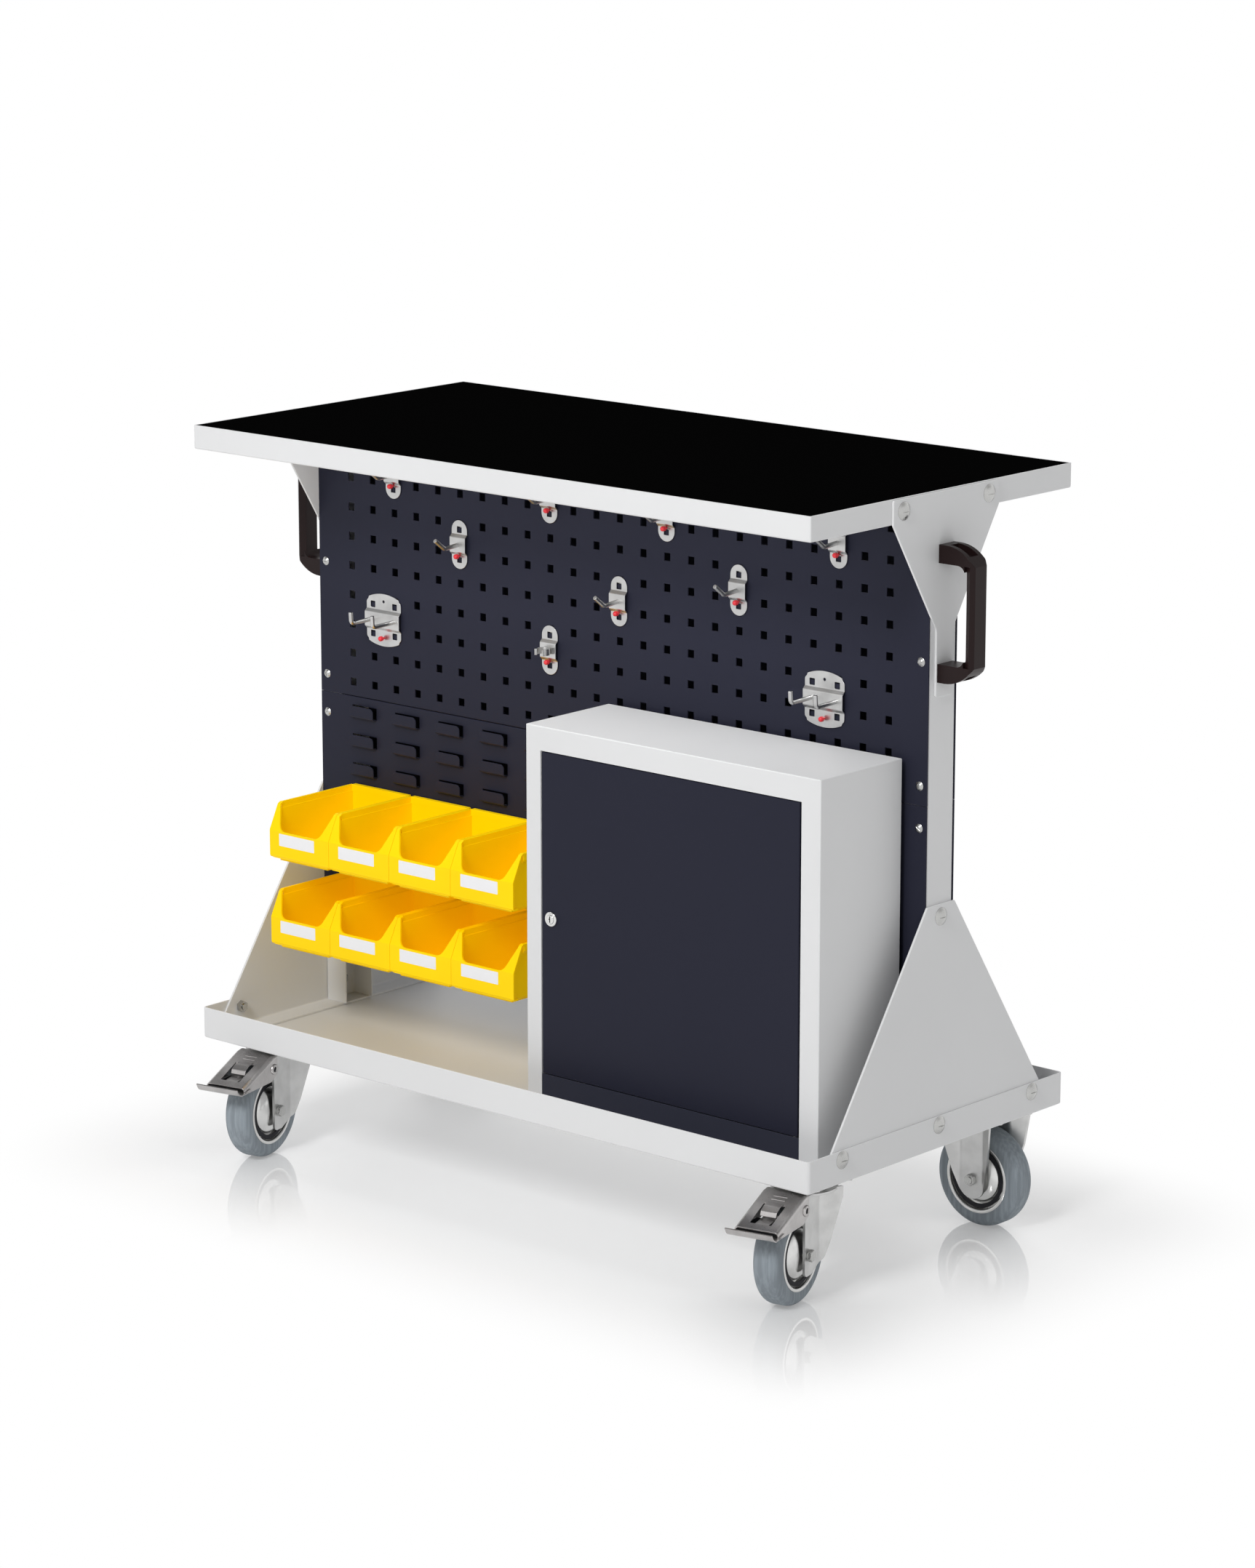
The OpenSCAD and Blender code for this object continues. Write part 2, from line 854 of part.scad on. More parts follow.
module double_hook() {
  root = -hook_sheet - band_out + 1;
  wide = 60;
  difference() {
    hook_plate(wide, double_high, [-pitch / 2, pitch / 2]) arched(wide, double_high, 27);
    rod_y(-10, 2, 0, double_high / 2 - 10, 2);
  }
  for (s = [-1, 1])
    translate([s * pitch / 2, 0, 0]) {
      wire(root, 0, root - 36, -1);
      wire(root - 36, -1, root - 37, 15);
    }
}

module spring_clip_unit() {
  root = -hook_sheet - band_out;
  wide = 26;
  high = 62;
  out_r = 9;
  hook_plate(wide, high, [0]) rounded(wide, high, wide / 2 - 0.1);
  translate([0, root - out_r + 1, -4])
    linear_extrude(8)
      difference() {
        circle(out_r);
        circle(out_r - 1.6);
        translate([-5.5, -out_r - 1]) square([11, out_r]);
      }
}

// Places a holder whose plate is centred between two hole rows
module at_hole(col, row) {
  translate([col_x + col * pitch, hook_back, row_z + (row + 0.5) * pitch - hook_drop])
    children();
}

single_spots = [[5, 5], [12, 4], [17, 5], [2, 7], [9, 7], [14, 7], [21, 7]];
double_row = ceil((cab_top + hook_clear + hook_drop + double_high / 2 - row_z) / pitch - 0.5);
double_spots = [[1.5, double_row], [20.5, double_row]];
clip_spot = [9, 2];

module single_hooks() {
  tint("silver") for (p = single_spots) at_hole(p[0], p[1]) single_hook();
}

module double_hooks() {
  tint("silver") for (p = double_spots) at_hole(p[0], p[1]) double_hook();
}

module spring_clip() {
  tint("silver") at_hole(clip_spot[0], clip_spot[1]) spring_clip_unit();
}

module lock_pin(z) {
  rod_y(-hook_sheet - 9, -hook_sheet - 2.4, 0, z, 3.2);
  rod_y(-hook_sheet - 3, -hook_sheet - 0.05, 0, z, 1.4);
}

module hook_lock_pins() {
  tint("red") {
    for (p = single_spots) at_hole(p[0], p[1]) lock_pin(-14.5);
    for (p = double_spots) at_hole(p[0], p[1]) lock_pin(11 - double_high / 2);
    at_hole(clip_spot[0], clip_spot[1]) lock_pin(-14.5);
  }
}

// ---------------------------------------------------------------- castors

module front_place(s) {
  translate([s * castor_x, -castor_y, 0]) rotate([0, 0, castor_turn]) children();
}

module rear_place(s) {
  translate([s * castor_x, castor_y, 0]) rotate([0, 0, 90]) children();
}

module front_wheel_place(s) {
  front_place(s) translate([0, -castor_trail, wheel_r]) children();
}

module rear_wheel_place(s) {
  rear_place(s) translate([0, 0, wheel_r]) children();
}

module castor_bolts() {
  tint("silver")
    for (sx = [-1, 1], sy = [-1, 1], ax = [-1, 1], ay = [-1, 1]) {
      lift = (ax == sx) ? plate_sheet : 0;
      translate([sx * castor_x + ax * bolt_span_x / 2, sy * castor_y + ay * bolt_span_y / 2, 0]) {
        translate([0, 0, tray_z - plate_thick - 5.3]) nut(nut_flat, 5.3);
        translate([0, 0, tray_z - plate_thick - 1])
          cylinder(r = bolt_r, h = plate_thick + base_sheet + lift + nut_high + 3);
        translate([0, 0, floor_z + lift]) nut(nut_flat, nut_high);
      }
    }
}

module castor_plate() {
  difference() {
    translate([0, 0, tray_z - plate_thick])
      linear_extrude(plate_thick) rounded(plate_long, plate_wide, 8);
    for (ax = [-1, 1], ay = [-1, 1])
      translate([ax * bolt_span_x / 2, ay * bolt_span_y / 2, tray_z - plate_thick - 1])
        cylinder(r = bolt_hole, h = plate_thick + 2);
  }
}

module swivel_plates() {
  tint("silver")
    for (s = [-1, 1])
      translate([s * castor_x, -castor_y, 0]) {
        castor_plate();
        translate([0, 0, tray_z - 9]) cylinder(r = race_r, h = 7);
        translate([0, 0, crown_z - 2.3]) cylinder(r = king_r, h = 14);
        translate([0, 0, crown_z - 2.3]) cylinder(r = 9, h = 2);
      }
}

module leg_2d() {
  top = crown_z + leg_sheet;
  low = wheel_r - 25;
  translate([-castor_trail, 0])
    polygon([[-10, low + 6.5], [-10, pivot_z - 13], [-20, pivot_z - 7], [-20, pivot_z + 7],
             [-8, top], [54, top], [54, top - 12.5], [39, wheel_r + 7], [31.5, low + 13.5],
             [20, low + 5], [6, low + 0.5], [-4, low]]);
}

// A fork side: its outline seen from the side, cut from a sheet bent as in the plan
module bent_side(plan, reach) {
  intersection() {
    linear_extrude(height = fork_high) polygon(plan);
    along_x(0, reach) children();
  }
}

module fork() {
  bend = 26 - castor_trail;
  front_end = -100;
  rear_end = 60;
  back = 54 - castor_trail;
  flare = tan(30);
  turn_out = (rear_end - bend) * flare;
  back_out = leg_out + (back - bend) * flare;
  crown_front = -castor_trail - 4;
  difference() {
    union() {
      for (s = [0, 1])
        mirror([s, 0, 0])
          bent_side([[leg_in, front_end], [leg_out, front_end], [leg_out, bend],
                     [leg_out + turn_out, rear_end], [leg_in + turn_out, rear_end],
                     [leg_in, bend]], leg_out + turn_out) leg_2d();
      translate([0, 0, crown_z])
        linear_extrude(leg_sheet) {
          polygon([[-leg_out, crown_front], [leg_out, crown_front], [leg_out, bend],
                   [back_out, back], [-back_out, back], [-leg_out, bend]]);
          circle(crown_r);
        }
      translate([0, 0, crown_z]) cylinder(r = race_r - 1, h = tray_z - 9 - seat - crown_z);
    }
    translate([0, 0, crown_z - 1]) cylinder(r = king_r + run_fit, h = tray_z - crown_z);
    rod_x(-leg_out - 1, leg_out + 1, -castor_trail, wheel_r, axle_dia / 2 + run_fit);
    rod_x(-leg_out - 1, leg_out + 1, -castor_trail + pivot_y, pivot_z, pivot_r + run_fit);
  }
}

module fork_left() {
  tint("silver") front_place(-1) fork();
}

module fork_right() {
  tint("silver") front_place(1) fork();
}

module pedal() {
  wide = leg_out + 2;
  t = 1.6;
  ty = -castor_trail;
  tip_y = ty - pedal_tip;
  kink_y = ty + pivot_y;
  back_y = ty - 2;
  low = pedal_low_z;
  fold = pedal_fold_z;
  top = pedal_top_z;
  window_front = tip_y + 10;
  window_back = ty - 32;
  slope = (top - fold) / (kink_y - tip_y);
  window_z = fold + slope * (window_back - tip_y);
  cheek = [[tip_y, low], [ty - 17, low + 1.5], [ty - 4, low + 10], [ty - 4, top],
           [kink_y, top - 1], [tip_y, fold - 1]];
  difference() {
    union() {
      for (x = [-wide, wide - t])
        along_x(x, t) polygon(cheek);
      along_x(-wide, 2 * wide)
        polygon([[tip_y, fold], [kink_y, top], [back_y, top + 1.5], [back_y, top - 0.2],
                 [kink_y, top - 1.7], [tip_y + 1.6, fold - 1.2], [tip_y + 1.6, low],
                 [tip_y, low]]);
      along_x(-lip_half, 2 * lip_half)
        polygon([[tip_y + 1, low], [tip_y - 8, low + 0.2], [tip_y - 15, low + 3.5],
                 [tip_y - lip_long, low + 12], [tip_y - lip_long + 1.6, low + 12.6],
                 [tip_y - 14, low + 5.4], [tip_y - 8, low + 2], [tip_y + 1, low + 1.8]]);
    }
    translate([-14, window_front, low + 3])
      cube([28, window_back - window_front, top - low]);
  }
  // Tab curled down from the upper end of the window
  along_x(-10, 20)
    translate([window_back, window_z])
      polygon([[2, 0.4], [-4, 0.6], [-9.5, -1.2], [-12, -6],
               [-10.6, -6.6], [-8.4, -2.6], [-4, -1], [2, -1.2]]);
  rod_x(-wide - 1.2, -leg_in + 1, kink_y, pivot_z, pivot_r);
  rod_x(leg_in - 1, wide + 1.2, kink_y, pivot_z, pivot_r);
}

module pedal_left() {
  tint("gray") front_place(-1) pedal();
}

module pedal_right() {
  tint("gray") front_place(1) pedal();
}

module fixed_leg_2d(top) {
  translate([0, wheel_r - 4.5]) circle(leg_r);
  polygon([[-18, wheel_r - 14], [-25, wheel_r + 8], [-32, wheel_r + 37], [-37, top - 7],
           [-37, top + 1], [37, top + 1], [37, top - 7], [32, wheel_r + 37],
           [25, wheel_r + 8], [18, wheel_r - 14]]);
}

module fixed_fork() {
  top = tray_z - plate_thick;
  bend = 17;
  end = 60;
  turn_out = (end - bend) * tan(37);
  difference() {
    union() {
      rotate([0, 0, 90]) castor_plate();
      for (s = [0, 1])
        mirror([s, 0, 0])
          bent_side([[leg_in + turn_out, -end], [leg_out + turn_out, -end],
                     [leg_out, -bend], [leg_out, bend], [leg_out + turn_out, end],
                     [leg_in + turn_out, end], [leg_in, bend], [leg_in, -bend]],
                    leg_out + turn_out) fixed_leg_2d(top);
      box(-leg_out, leg_out, -bend, bend, top - leg_sheet, top + 1);
    }
    rod_x(-leg_out - 1, leg_out + 1, 0, wheel_r, axle_dia / 2 + run_fit);
  }
}

module fixed_fork_left() {
  tint("silver") rear_place(-1) fixed_fork();
}

module fixed_fork_right() {
  tint("silver") rear_place(1) fixed_fork();
}

module axle() {
  head = 6;
  rod_x(-leg_out - 8, leg_out + 1, 0, 0, axle_dia / 2);
  translate([leg_out, 0, 0]) rotate([0, 90, 0]) nut(axle_flat, head);
  translate([-leg_out - head, 0, 0]) rotate([0, 90, 0]) nut(axle_flat, head);
}

module hub() {
  r = wheel_r;
  side = tyre_width / 2;
  bore = axle_dia / 2 + run_fit;
  rotate([0, 90, 0])
    rotate_extrude($fn = 96)
      polygon([[bore, -22], [11, -22], [12.5, -17.2], [27, -16.4], [32, -14.8],
               [35.5, -11.5], [36.8, -7], [rim_r - 4.5, -7], [rim_r - 1.5, -side - 0.5],
               [rim_r + 2, -side - 0.5], [rim_r + 2, -side + 2],
               [rim_r - 3, -4], [rim_r - 3, 4], [rim_r + 2, side - 2],
               [rim_r + 2, side + 0.5], [rim_r - 1.5, side + 0.5], [rim_r - 4.5, 7],
               [36.8, 7], [35.5, 11.5], [32, 14.8], [27, 16.4], [12.5, 17.2],
               [11, 22], [bore, 22]]);
}

module tyre() {
  side = tyre_width / 2;
  shoulder = 11;
  rotate([0, 90, 0])
    rotate_extrude($fn = 96)
      difference() {
        union() {
          translate([rim_r - 2, -side]) square([wheel_r - rim_r + 2 - shoulder, 2 * side]);
          translate([rim_r - 2, -side + shoulder])
            square([wheel_r - rim_r + 2, 2 * (side - shoulder)]);
          for (s = [-1, 1])
            translate([wheel_r - shoulder, s * (side - shoulder)]) circle(shoulder);
        }
        polygon([[0, -side - 1], [rim_r + 2.1, -side - 1], [rim_r + 2.1, -side + 2.1],
                 [rim_r - 2.9, -4], [rim_r - 2.9, 4], [rim_r + 2.1, side - 2.1],
                 [rim_r + 2.1, side + 1], [0, side + 1]]);
      }
}

module axle_front_left() {
  tint("silver") front_wheel_place(-1) axle();
}

module axle_front_right() {
  tint("silver") front_wheel_place(1) axle();
}

module axle_rear_left() {
  tint("silver") rear_wheel_place(-1) axle();
}

module axle_rear_right() {
  tint("silver") rear_wheel_place(1) axle();
}

module hub_front_left() {
  tint("silver") front_wheel_place(-1) hub();
}

module hub_front_right() {
  tint("silver") front_wheel_place(1) hub();
}

module hub_rear_left() {
  tint("silver") rear_wheel_place(-1) hub();
}

module hub_rear_right() {
  tint("silver") rear_wheel_place(1) hub();
}

module tyre_front_left() {
  tint("slategray") front_wheel_place(-1) tyre();
}

module tyre_front_right() {
  tint("slategray") front_wheel_place(1) tyre();
}

module tyre_rear_left() {
  tint("slategray") rear_wheel_place(-1) tyre();
}

module tyre_rear_right() {
  tint("slategray") rear_wheel_place(1) tyre();
}

// ---------------------------------------------------------------- bins

module bin_side_2d(inset) {
  polygon([[-inset, inset], [-bin_depth + inset, inset],
           [-bin_depth + inset, bin_front], [-bin_depth + 15, bin_height - 3],
           [-bin_depth + 19, bin_height], [-inset, bin_height]]);
}

module storage_bin() {
  flange = 3;
  half = bin_width / 2 - flange;
  hook_low = -19;
  foot = 4;
  ledge = 8;
  difference() {
    along_x(-half, 2 * half) bin_side_2d(0);
    along_x(-half + bin_wall, 2 * (half - bin_wall))
      polygon([[-bin_wall, foot + bin_wall], [-bin_depth + bin_wall, foot + bin_wall],
               [-bin_depth + bin_wall, bin_height + 1], [-bin_wall, bin_height + 1]]);
    along_x(-half + 0.5, 2 * half - 1)
      polygon([[-bin_wall, bin_height - ledge], [-bin_depth + 25, bin_height - ledge],
               [-bin_depth + 25, bin_height + 1], [-bin_wall, bin_height + 1]]);
    box(-half - 1, half + 1, -bin_depth - 1, -bin_depth + 19, bin_height - 1, bin_height + 1);
    for (s = [-1, 1])
      box(s > 0 ? half - 9 : -half - 1, s > 0 ? half + 1 : -half + 9,
          -bin_depth - 1, 1, -1, foot);
    box(-half + 14, half - 14, -bin_depth + 12, -8, -1, foot - 1);
  }
  // Flanges beside the open front
  for (s = [-1, 1])
    along_x(s > 0 ? half - 10 : -half, 10)
      polygon([[-bin_depth + 0.3, bin_front - 6], [-bin_depth + 0.3, bin_front],
               [-bin_depth + 15.3, bin_height - 3], [-bin_depth + 17.8, bin_height - 3],
               [-bin_depth + 2.8, bin_front - 6]]);
  for (s = [-1, 1])
    box(s > 0 ? half - 0.5 : -half - flange, s > 0 ? half + flange : -half + 0.5,
        -bin_depth + 19, 0, bin_height - 4, bin_height);
  box(-half, half, -0.5, 5.5, bin_height - bin_top + bin_hook_z + seat, bin_height);
  box(-half, half, 3.5, 5.5, bin_height + hook_low, bin_height);
}

module bin_at(col, row) {
  tint("gold")
    translate([col_x + (col + 0.5) * bin_pitch, -bin_back,
               bin_top - bin_height - row * bin_row])
      storage_bin();
}

module bin_a1() { bin_at(0, 0); }
module bin_a2() { bin_at(1, 0); }
module bin_a3() { bin_at(2, 0); }
module bin_a4() { bin_at(3, 0); }
module bin_b1() { bin_at(0, 1); }
module bin_b2() { bin_at(1, 1); }
module bin_b3() { bin_at(2, 1); }
module bin_b4() { bin_at(3, 1); }

// ---------------------------------------------------------------- assembly

base_tray();
side_plate_left();
side_plate_right();
post_left();
post_right();
gusset_left();
gusset_right();
worktop_frame();
worktop_board();
worktop_mat();
front_hole_panel();
front_louvre_panel();
rear_hole_panel();
rear_louvre_panel();
panel_screws();
frame_bolts();
frame_nuts();
handle_left();
handle_right();
handle_screws();
cabinet_body();
cabinet_shelf();
cabinet_pins();
kick_plate();
cabinet_door();
lock_barrel();
lock_plug();
single_hooks();
double_hooks();
spring_clip();
hook_lock_pins();
castor_bolts();
swivel_plates();
fork_left();
fork_right();
pedal_left();
pedal_right();
fixed_fork_left();
fixed_fork_right();
axle_front_left();
axle_front_right();
axle_rear_left();
axle_rear_right();
hub_front_left();
hub_front_right();
hub_rear_left();
hub_rear_right();
tyre_front_left();
tyre_front_right();
tyre_rear_left();
tyre_rear_right();
bin_a1();
bin_a2();
bin_a3();
bin_a4();
bin_b1();
bin_b2();
bin_b3();
bin_b4();
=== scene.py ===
"""Workbench trolley with tool panels, cabinet and bins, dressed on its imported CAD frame.

The CAD nodes give every place and size.
"""

import logging
import math
from dataclasses import dataclass
from enum import Enum
from typing import Callable, ClassVar, Optional, Sequence, Union

import bpy
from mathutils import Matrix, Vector


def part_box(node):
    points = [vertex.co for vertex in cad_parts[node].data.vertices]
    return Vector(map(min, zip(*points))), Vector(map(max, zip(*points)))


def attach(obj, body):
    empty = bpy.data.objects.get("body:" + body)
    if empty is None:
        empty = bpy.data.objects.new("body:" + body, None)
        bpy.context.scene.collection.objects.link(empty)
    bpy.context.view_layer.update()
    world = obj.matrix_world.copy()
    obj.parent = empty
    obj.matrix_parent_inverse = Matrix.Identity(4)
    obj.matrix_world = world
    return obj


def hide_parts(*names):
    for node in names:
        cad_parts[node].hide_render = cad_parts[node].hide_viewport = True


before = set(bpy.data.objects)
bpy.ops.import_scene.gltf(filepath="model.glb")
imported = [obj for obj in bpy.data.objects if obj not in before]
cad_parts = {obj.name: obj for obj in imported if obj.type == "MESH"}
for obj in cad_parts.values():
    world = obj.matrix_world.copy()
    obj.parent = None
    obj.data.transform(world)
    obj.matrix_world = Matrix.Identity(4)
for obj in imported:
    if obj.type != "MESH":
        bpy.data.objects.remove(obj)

MM = 0.001
Point = tuple[float, float, float]
Flat = tuple[float, float]
Colour = tuple[float, ...]
Test = Callable[[Vector, Vector], bool]
LOG = logging.getLogger("trolley")

# Edges whose faces meet at more than this many degrees stay sharp.
SHARP = 50.0

# Wheels that the studio floor mirrors; the fourth stands in the shade behind them.
MIRRORED = ("front_left", "front_right", "rear_right")


# ---------------- measuring


@dataclass(frozen=True)
class Span:
    """Lowest and highest corner of a CAD node, in millimetres."""

    x0: float
    y0: float
    z0: float
    x1: float
    y1: float
    z1: float

    @classmethod
    def of(cls, node: str) -> "Span":
        """Reads a node's box from the frame.

        Args:
            node: Name of the CAD node.

        Returns:
            Its box in millimetres.
        """
        low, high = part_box(node)
        return cls(*(value / MM for value in (*low, *high)))

    @property
    def cx(self) -> float:
        """Middle along X."""
        return (self.x0 + self.x1) / 2

    @property
    def cy(self) -> float:
        """Middle along Y."""
        return (self.y0 + self.y1) / 2

    @property
    def cz(self) -> float:
        """Middle along Z."""
        return (self.z0 + self.z1) / 2


def arc(centre: Flat, radius: float, start: float, end: float, steps: int) -> list[Flat]:
    """Points along an arc.

    Args:
        centre: Its centre.
        radius: Its radius.
        start: First angle in degrees.
        end: Last angle in degrees.
        steps: How many spans it has.

    Returns:
        The points, both ends included.
    """
    angles = [math.radians(start + (end - start) * i / steps) for i in range(steps + 1)]
    return [(centre[0] + radius * math.cos(a), centre[1] + radius * math.sin(a))
            for a in angles]


def filleted(points: Sequence[Flat], radii: Union[float, Sequence[float]],
             steps: int = 4, closed: bool = True) -> list[Flat]:
    """Rounds the corners of an outline or an open line with true arcs.

    Args:
        points: The sharp corners in order.
        radii: One radius for all corners, or one for each.
        steps: Spans per rounded corner.
        closed: Whether the last point joins the first.

    Returns:
        The points with arcs in the corners.
    """
    count = len(points)
    sizes = [radii] * count if isinstance(radii, (int, float)) else list(radii)
    line: list[Flat] = []
    for i, (corner, size) in enumerate(zip(points, sizes)):
        here = Vector(corner)
        if size <= 0 or not (closed or 0 < i < count - 1):
            line.append(tuple(here))
            continue
        before = (Vector(points[i - 1]) - here).normalized()
        after = (Vector(points[(i + 1) % count]) - here).normalized()
        half = before.angle(after) / 2
        middle = here + (before + after).normalized() * (size / math.sin(half))
        first = here + before * (size / math.tan(half)) - middle
        last = here + after * (size / math.tan(half)) - middle
        sweep = first.angle_signed(last)
        turn = -sweep / steps
        for k in range(steps + 1):
            c, s = math.cos(turn * k), math.sin(turn * k)
            line.append((middle.x + first.x * c - first.y * s,
                         middle.y + first.x * s + first.y * c))
    return line


def box_outline(x0: float, y0: float, x1: float, y1: float) -> list[Flat]:
    """Corners of a rectangle, anticlockwise."""
    return [(x0, y0), (x1, y0), (x1, y1), (x0, y1)]


# ---------------- modelling


class Pick(Enum):
    """What an edit selects."""

    VERTS = (True, False, False)
    EDGES = (False, True, False)
    FACES = (False, False, True)


class Axis(Enum):
    """Direction that an outline is pushed along, and the plane it is drawn in."""

    X = 0
    Y = 1
    Z = 2

    def lift(self, point: Flat, depth: float) -> Point:
        """Puts a flat point in space.

        Args:
            point: The point in the drawing plane: YZ, XZ or XY.
            depth: Its place along the axis.

        Returns:
            The point in space.
        """
        a, b = point
        return {Axis.X: (depth, a, b), Axis.Y: (a, depth, b), Axis.Z: (a, b, depth)}[self]

    @property
    def unit(self) -> Vector:
        """Unit vector along the axis."""
        return Vector([1.0 if i == self.value else 0.0 for i in range(3)])


class Part:
    """One mesh that is shaped with Blender's own operators. Lengths are millimetres."""

    def __init__(self, obj: bpy.types.Object) -> None:
        """Wraps an object.

        Args:
            obj: A mesh object at the origin.
        """
        self.obj = obj

    # ---- starts

    @staticmethod
    def idle() -> None:
        """Deselects everything."""
        bpy.ops.object.select_all(action="DESELECT")

    @classmethod
    def adopt(cls, name: str) -> "Part":
        """Names the new primitive and puts its place in its mesh.

        Args:
            name: Name of the piece.

        Returns:
            The new part.
        """
        obj = bpy.context.object
        obj.name = name
        obj.data.name = name
        bpy.ops.object.transform_apply(location=True, rotation=True, scale=True)
        return cls(obj)

    @classmethod
    def block(cls, name: str, low: Point, high: Point) -> "Part":
        """Starts from a cube between two corners.

        Args:
            name: Name of the piece.
            low: Lowest corner.
            high: Highest corner.

        Returns:
            The new part.
        """
        cls.idle()
        bpy.ops.mesh.primitive_cube_add(
            size=1, location=[(a + b) / 2 * MM for a, b in zip(low, high)],
            scale=[(b - a) * MM for a, b in zip(low, high)])
        return cls.adopt(name)

    @classmethod
    def disc(cls, name: str, centre: Point, axis: Axis, radius: float, length: float,
             sides: int = 32) -> "Part":
        """Starts from a cylinder whose near end is at a point.

        Args:
            name: Name of the piece.
            centre: Centre of its near end.
            axis: Direction of its length.
            radius: Its radius.
            length: Its length along the axis.
            sides: Sides of its outline.

        Returns:
            The new part.
        """
        cls.idle()
        turn = {Axis.X: (0, math.pi / 2, 0), Axis.Y: (math.pi / 2, 0, 0), Axis.Z: (0, 0, 0)}
        middle = Vector(centre) + axis.unit * (length / 2)
        bpy.ops.mesh.primitive_cylinder_add(
            vertices=sides, radius=radius * MM, depth=abs(length) * MM,
            location=middle * MM, rotation=turn[axis])
        return cls.adopt(name)

    @classmethod
    def trace(cls, name: str, points: Sequence[Point], fill: bool = False) -> "Part":
        """Draws a line by extruding a vertex from point to point.

        Args:
            name: Name of the piece.
            points: The points in order.
            fill: Whether the line is closed and filled.

        Returns:
            The new part.
        """
        cls.idle()
        bpy.ops.mesh.primitive_plane_add(size=MM)
        part = cls.adopt(name)
        spots = [Vector(p) * MM for p in points]
        bpy.context.tool_settings.mesh_select_mode = Pick.VERTS.value
        bpy.ops.object.mode_set(mode="EDIT")
        bpy.ops.mesh.select_all(action="SELECT")
        bpy.ops.mesh.merge(type="CENTER")
        bpy.ops.transform.translate(value=spots[0])
        for near, far in zip(spots, spots[1:]):
            bpy.ops.mesh.extrude_region_move(TRANSFORM_OT_translate={"value": far - near})
        if fill:
            bpy.ops.mesh.select_all(action="SELECT")
            bpy.ops.mesh.edge_face_add()
        bpy.ops.object.mode_set(mode="OBJECT")
        return part

    @classmethod
    def prism(cls, name: str, outline: Sequence[Flat], axis: Axis, start: float,
              end: float) -> "Part":
        """Draws an outline and extrudes it.

        Args:
            name: Name of the piece.
            outline: Closed outline in the axis's drawing plane.
            axis: Direction of the extrusion.
            start: Where it starts along the axis.
            end: Where it ends along the axis.

        Returns:
            The new part.
        """
        part = cls.trace(name, [axis.lift(p, start) for p in outline], fill=True)
        part.all_of(Pick.FACES)
        return part.extrude(axis.unit * (end - start)).outwards()

    @classmethod
    def strip(cls, name: str, line: Sequence[Flat], axis: Axis, start: float, end: float,
              sheet: float) -> "Part":
        """Bends a sheet along a line, as a folded strip of metal.

        Args:
            name: Name of the piece.
            line: The line that the sheet follows, in the axis's drawing plane.
            axis: Direction across the strip.
            start: One edge of the strip.
            end: Its other edge.
            sheet: Thickness, centred on the line.

        Returns:
            The new part.
        """
        part = cls.trace(name, [axis.lift(p, start) for p in line])
        part.all_of(Pick.EDGES)
        part.extrude(axis.unit * (end - start))
        return part.modify("SOLIDIFY", thickness=sheet * MM, offset=0,
                           use_even_offset=True).outwards()

    @classmethod
    def turned(cls, name: str, profile: Sequence[Flat], axis: Axis, centre: Point,
               steps: int = 48) -> "Part":
        """Spins a profile round an axis, as on a lathe.

        Args:
            name: Name of the piece.
            profile: Points (radius, distance along the axis); a ring repeats its first.
            axis: The axis of the lathe.
            centre: A point on the axis, from which distances count.
            steps: Sides of the round shape.

        Returns:
            The new part.
        """
        side = (Axis.X if axis is Axis.Z else Axis.Z).unit
        middle = Vector(centre)
        part = cls.trace(name, [middle + side * r + axis.unit * d for r, d in profile])
        part.all_of(Pick.VERTS)
        part.act(bpy.ops.mesh.spin, steps=steps, angle=2 * math.pi, center=middle * MM,
                 axis=axis.unit)
        return part.welded(0.002).outwards()

    @classmethod
    def wire(cls, name: str, path: Sequence[Point], radius: float, rings: int = 3) -> "Part":
        """Sweeps a round bar along a path.

        Args:
            name: Name of the piece.
            path: The points of its centre line.
            radius: Radius of the bar.
            rings: How finely its round section is cut.

        Returns:
            The new part, with closed ends.
        """
        part = cls.trace(name, path)
        part.use()
        bpy.ops.object.convert(target="CURVE")
        curve = bpy.context.object.data
        curve.bevel_depth = radius * MM
        curve.bevel_resolution = rings
        curve.use_fill_caps = True
        bpy.ops.object.convert(target="MESH")
        return cls(bpy.context.object).welded(0.001).outwards()

    @classmethod
    def of_node(cls, node: str) -> "Part":
        """Copies a CAD node's mesh and merges its loose triangles.

        Args:
            node: Name of the CAD node.

        Returns:
            The copy, with flat faces joined.
        """
        cls.idle()
        obj = bpy.data.objects.new(f"{node}_dressed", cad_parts[node].data.copy())
        obj.data.materials.clear()
        bpy.context.scene.collection.objects.link(obj)
        part = cls(obj)
        part.welded(0.004)
        part.all_of(Pick.FACES)
        return part.act(bpy.ops.mesh.dissolve_limited, angle_limit=math.radians(0.6))

    # ---- selecting

    def use(self) -> "Part":
        """Makes this the one selected, active object."""
        self.idle()
        bpy.context.view_layer.objects.active = self.obj
        self.obj.select_set(True)
        return self

    def all_of(self, kind: Pick) -> "Part":
        """Selects everything of a kind."""
        return self.pick(kind, lambda place, way: True)

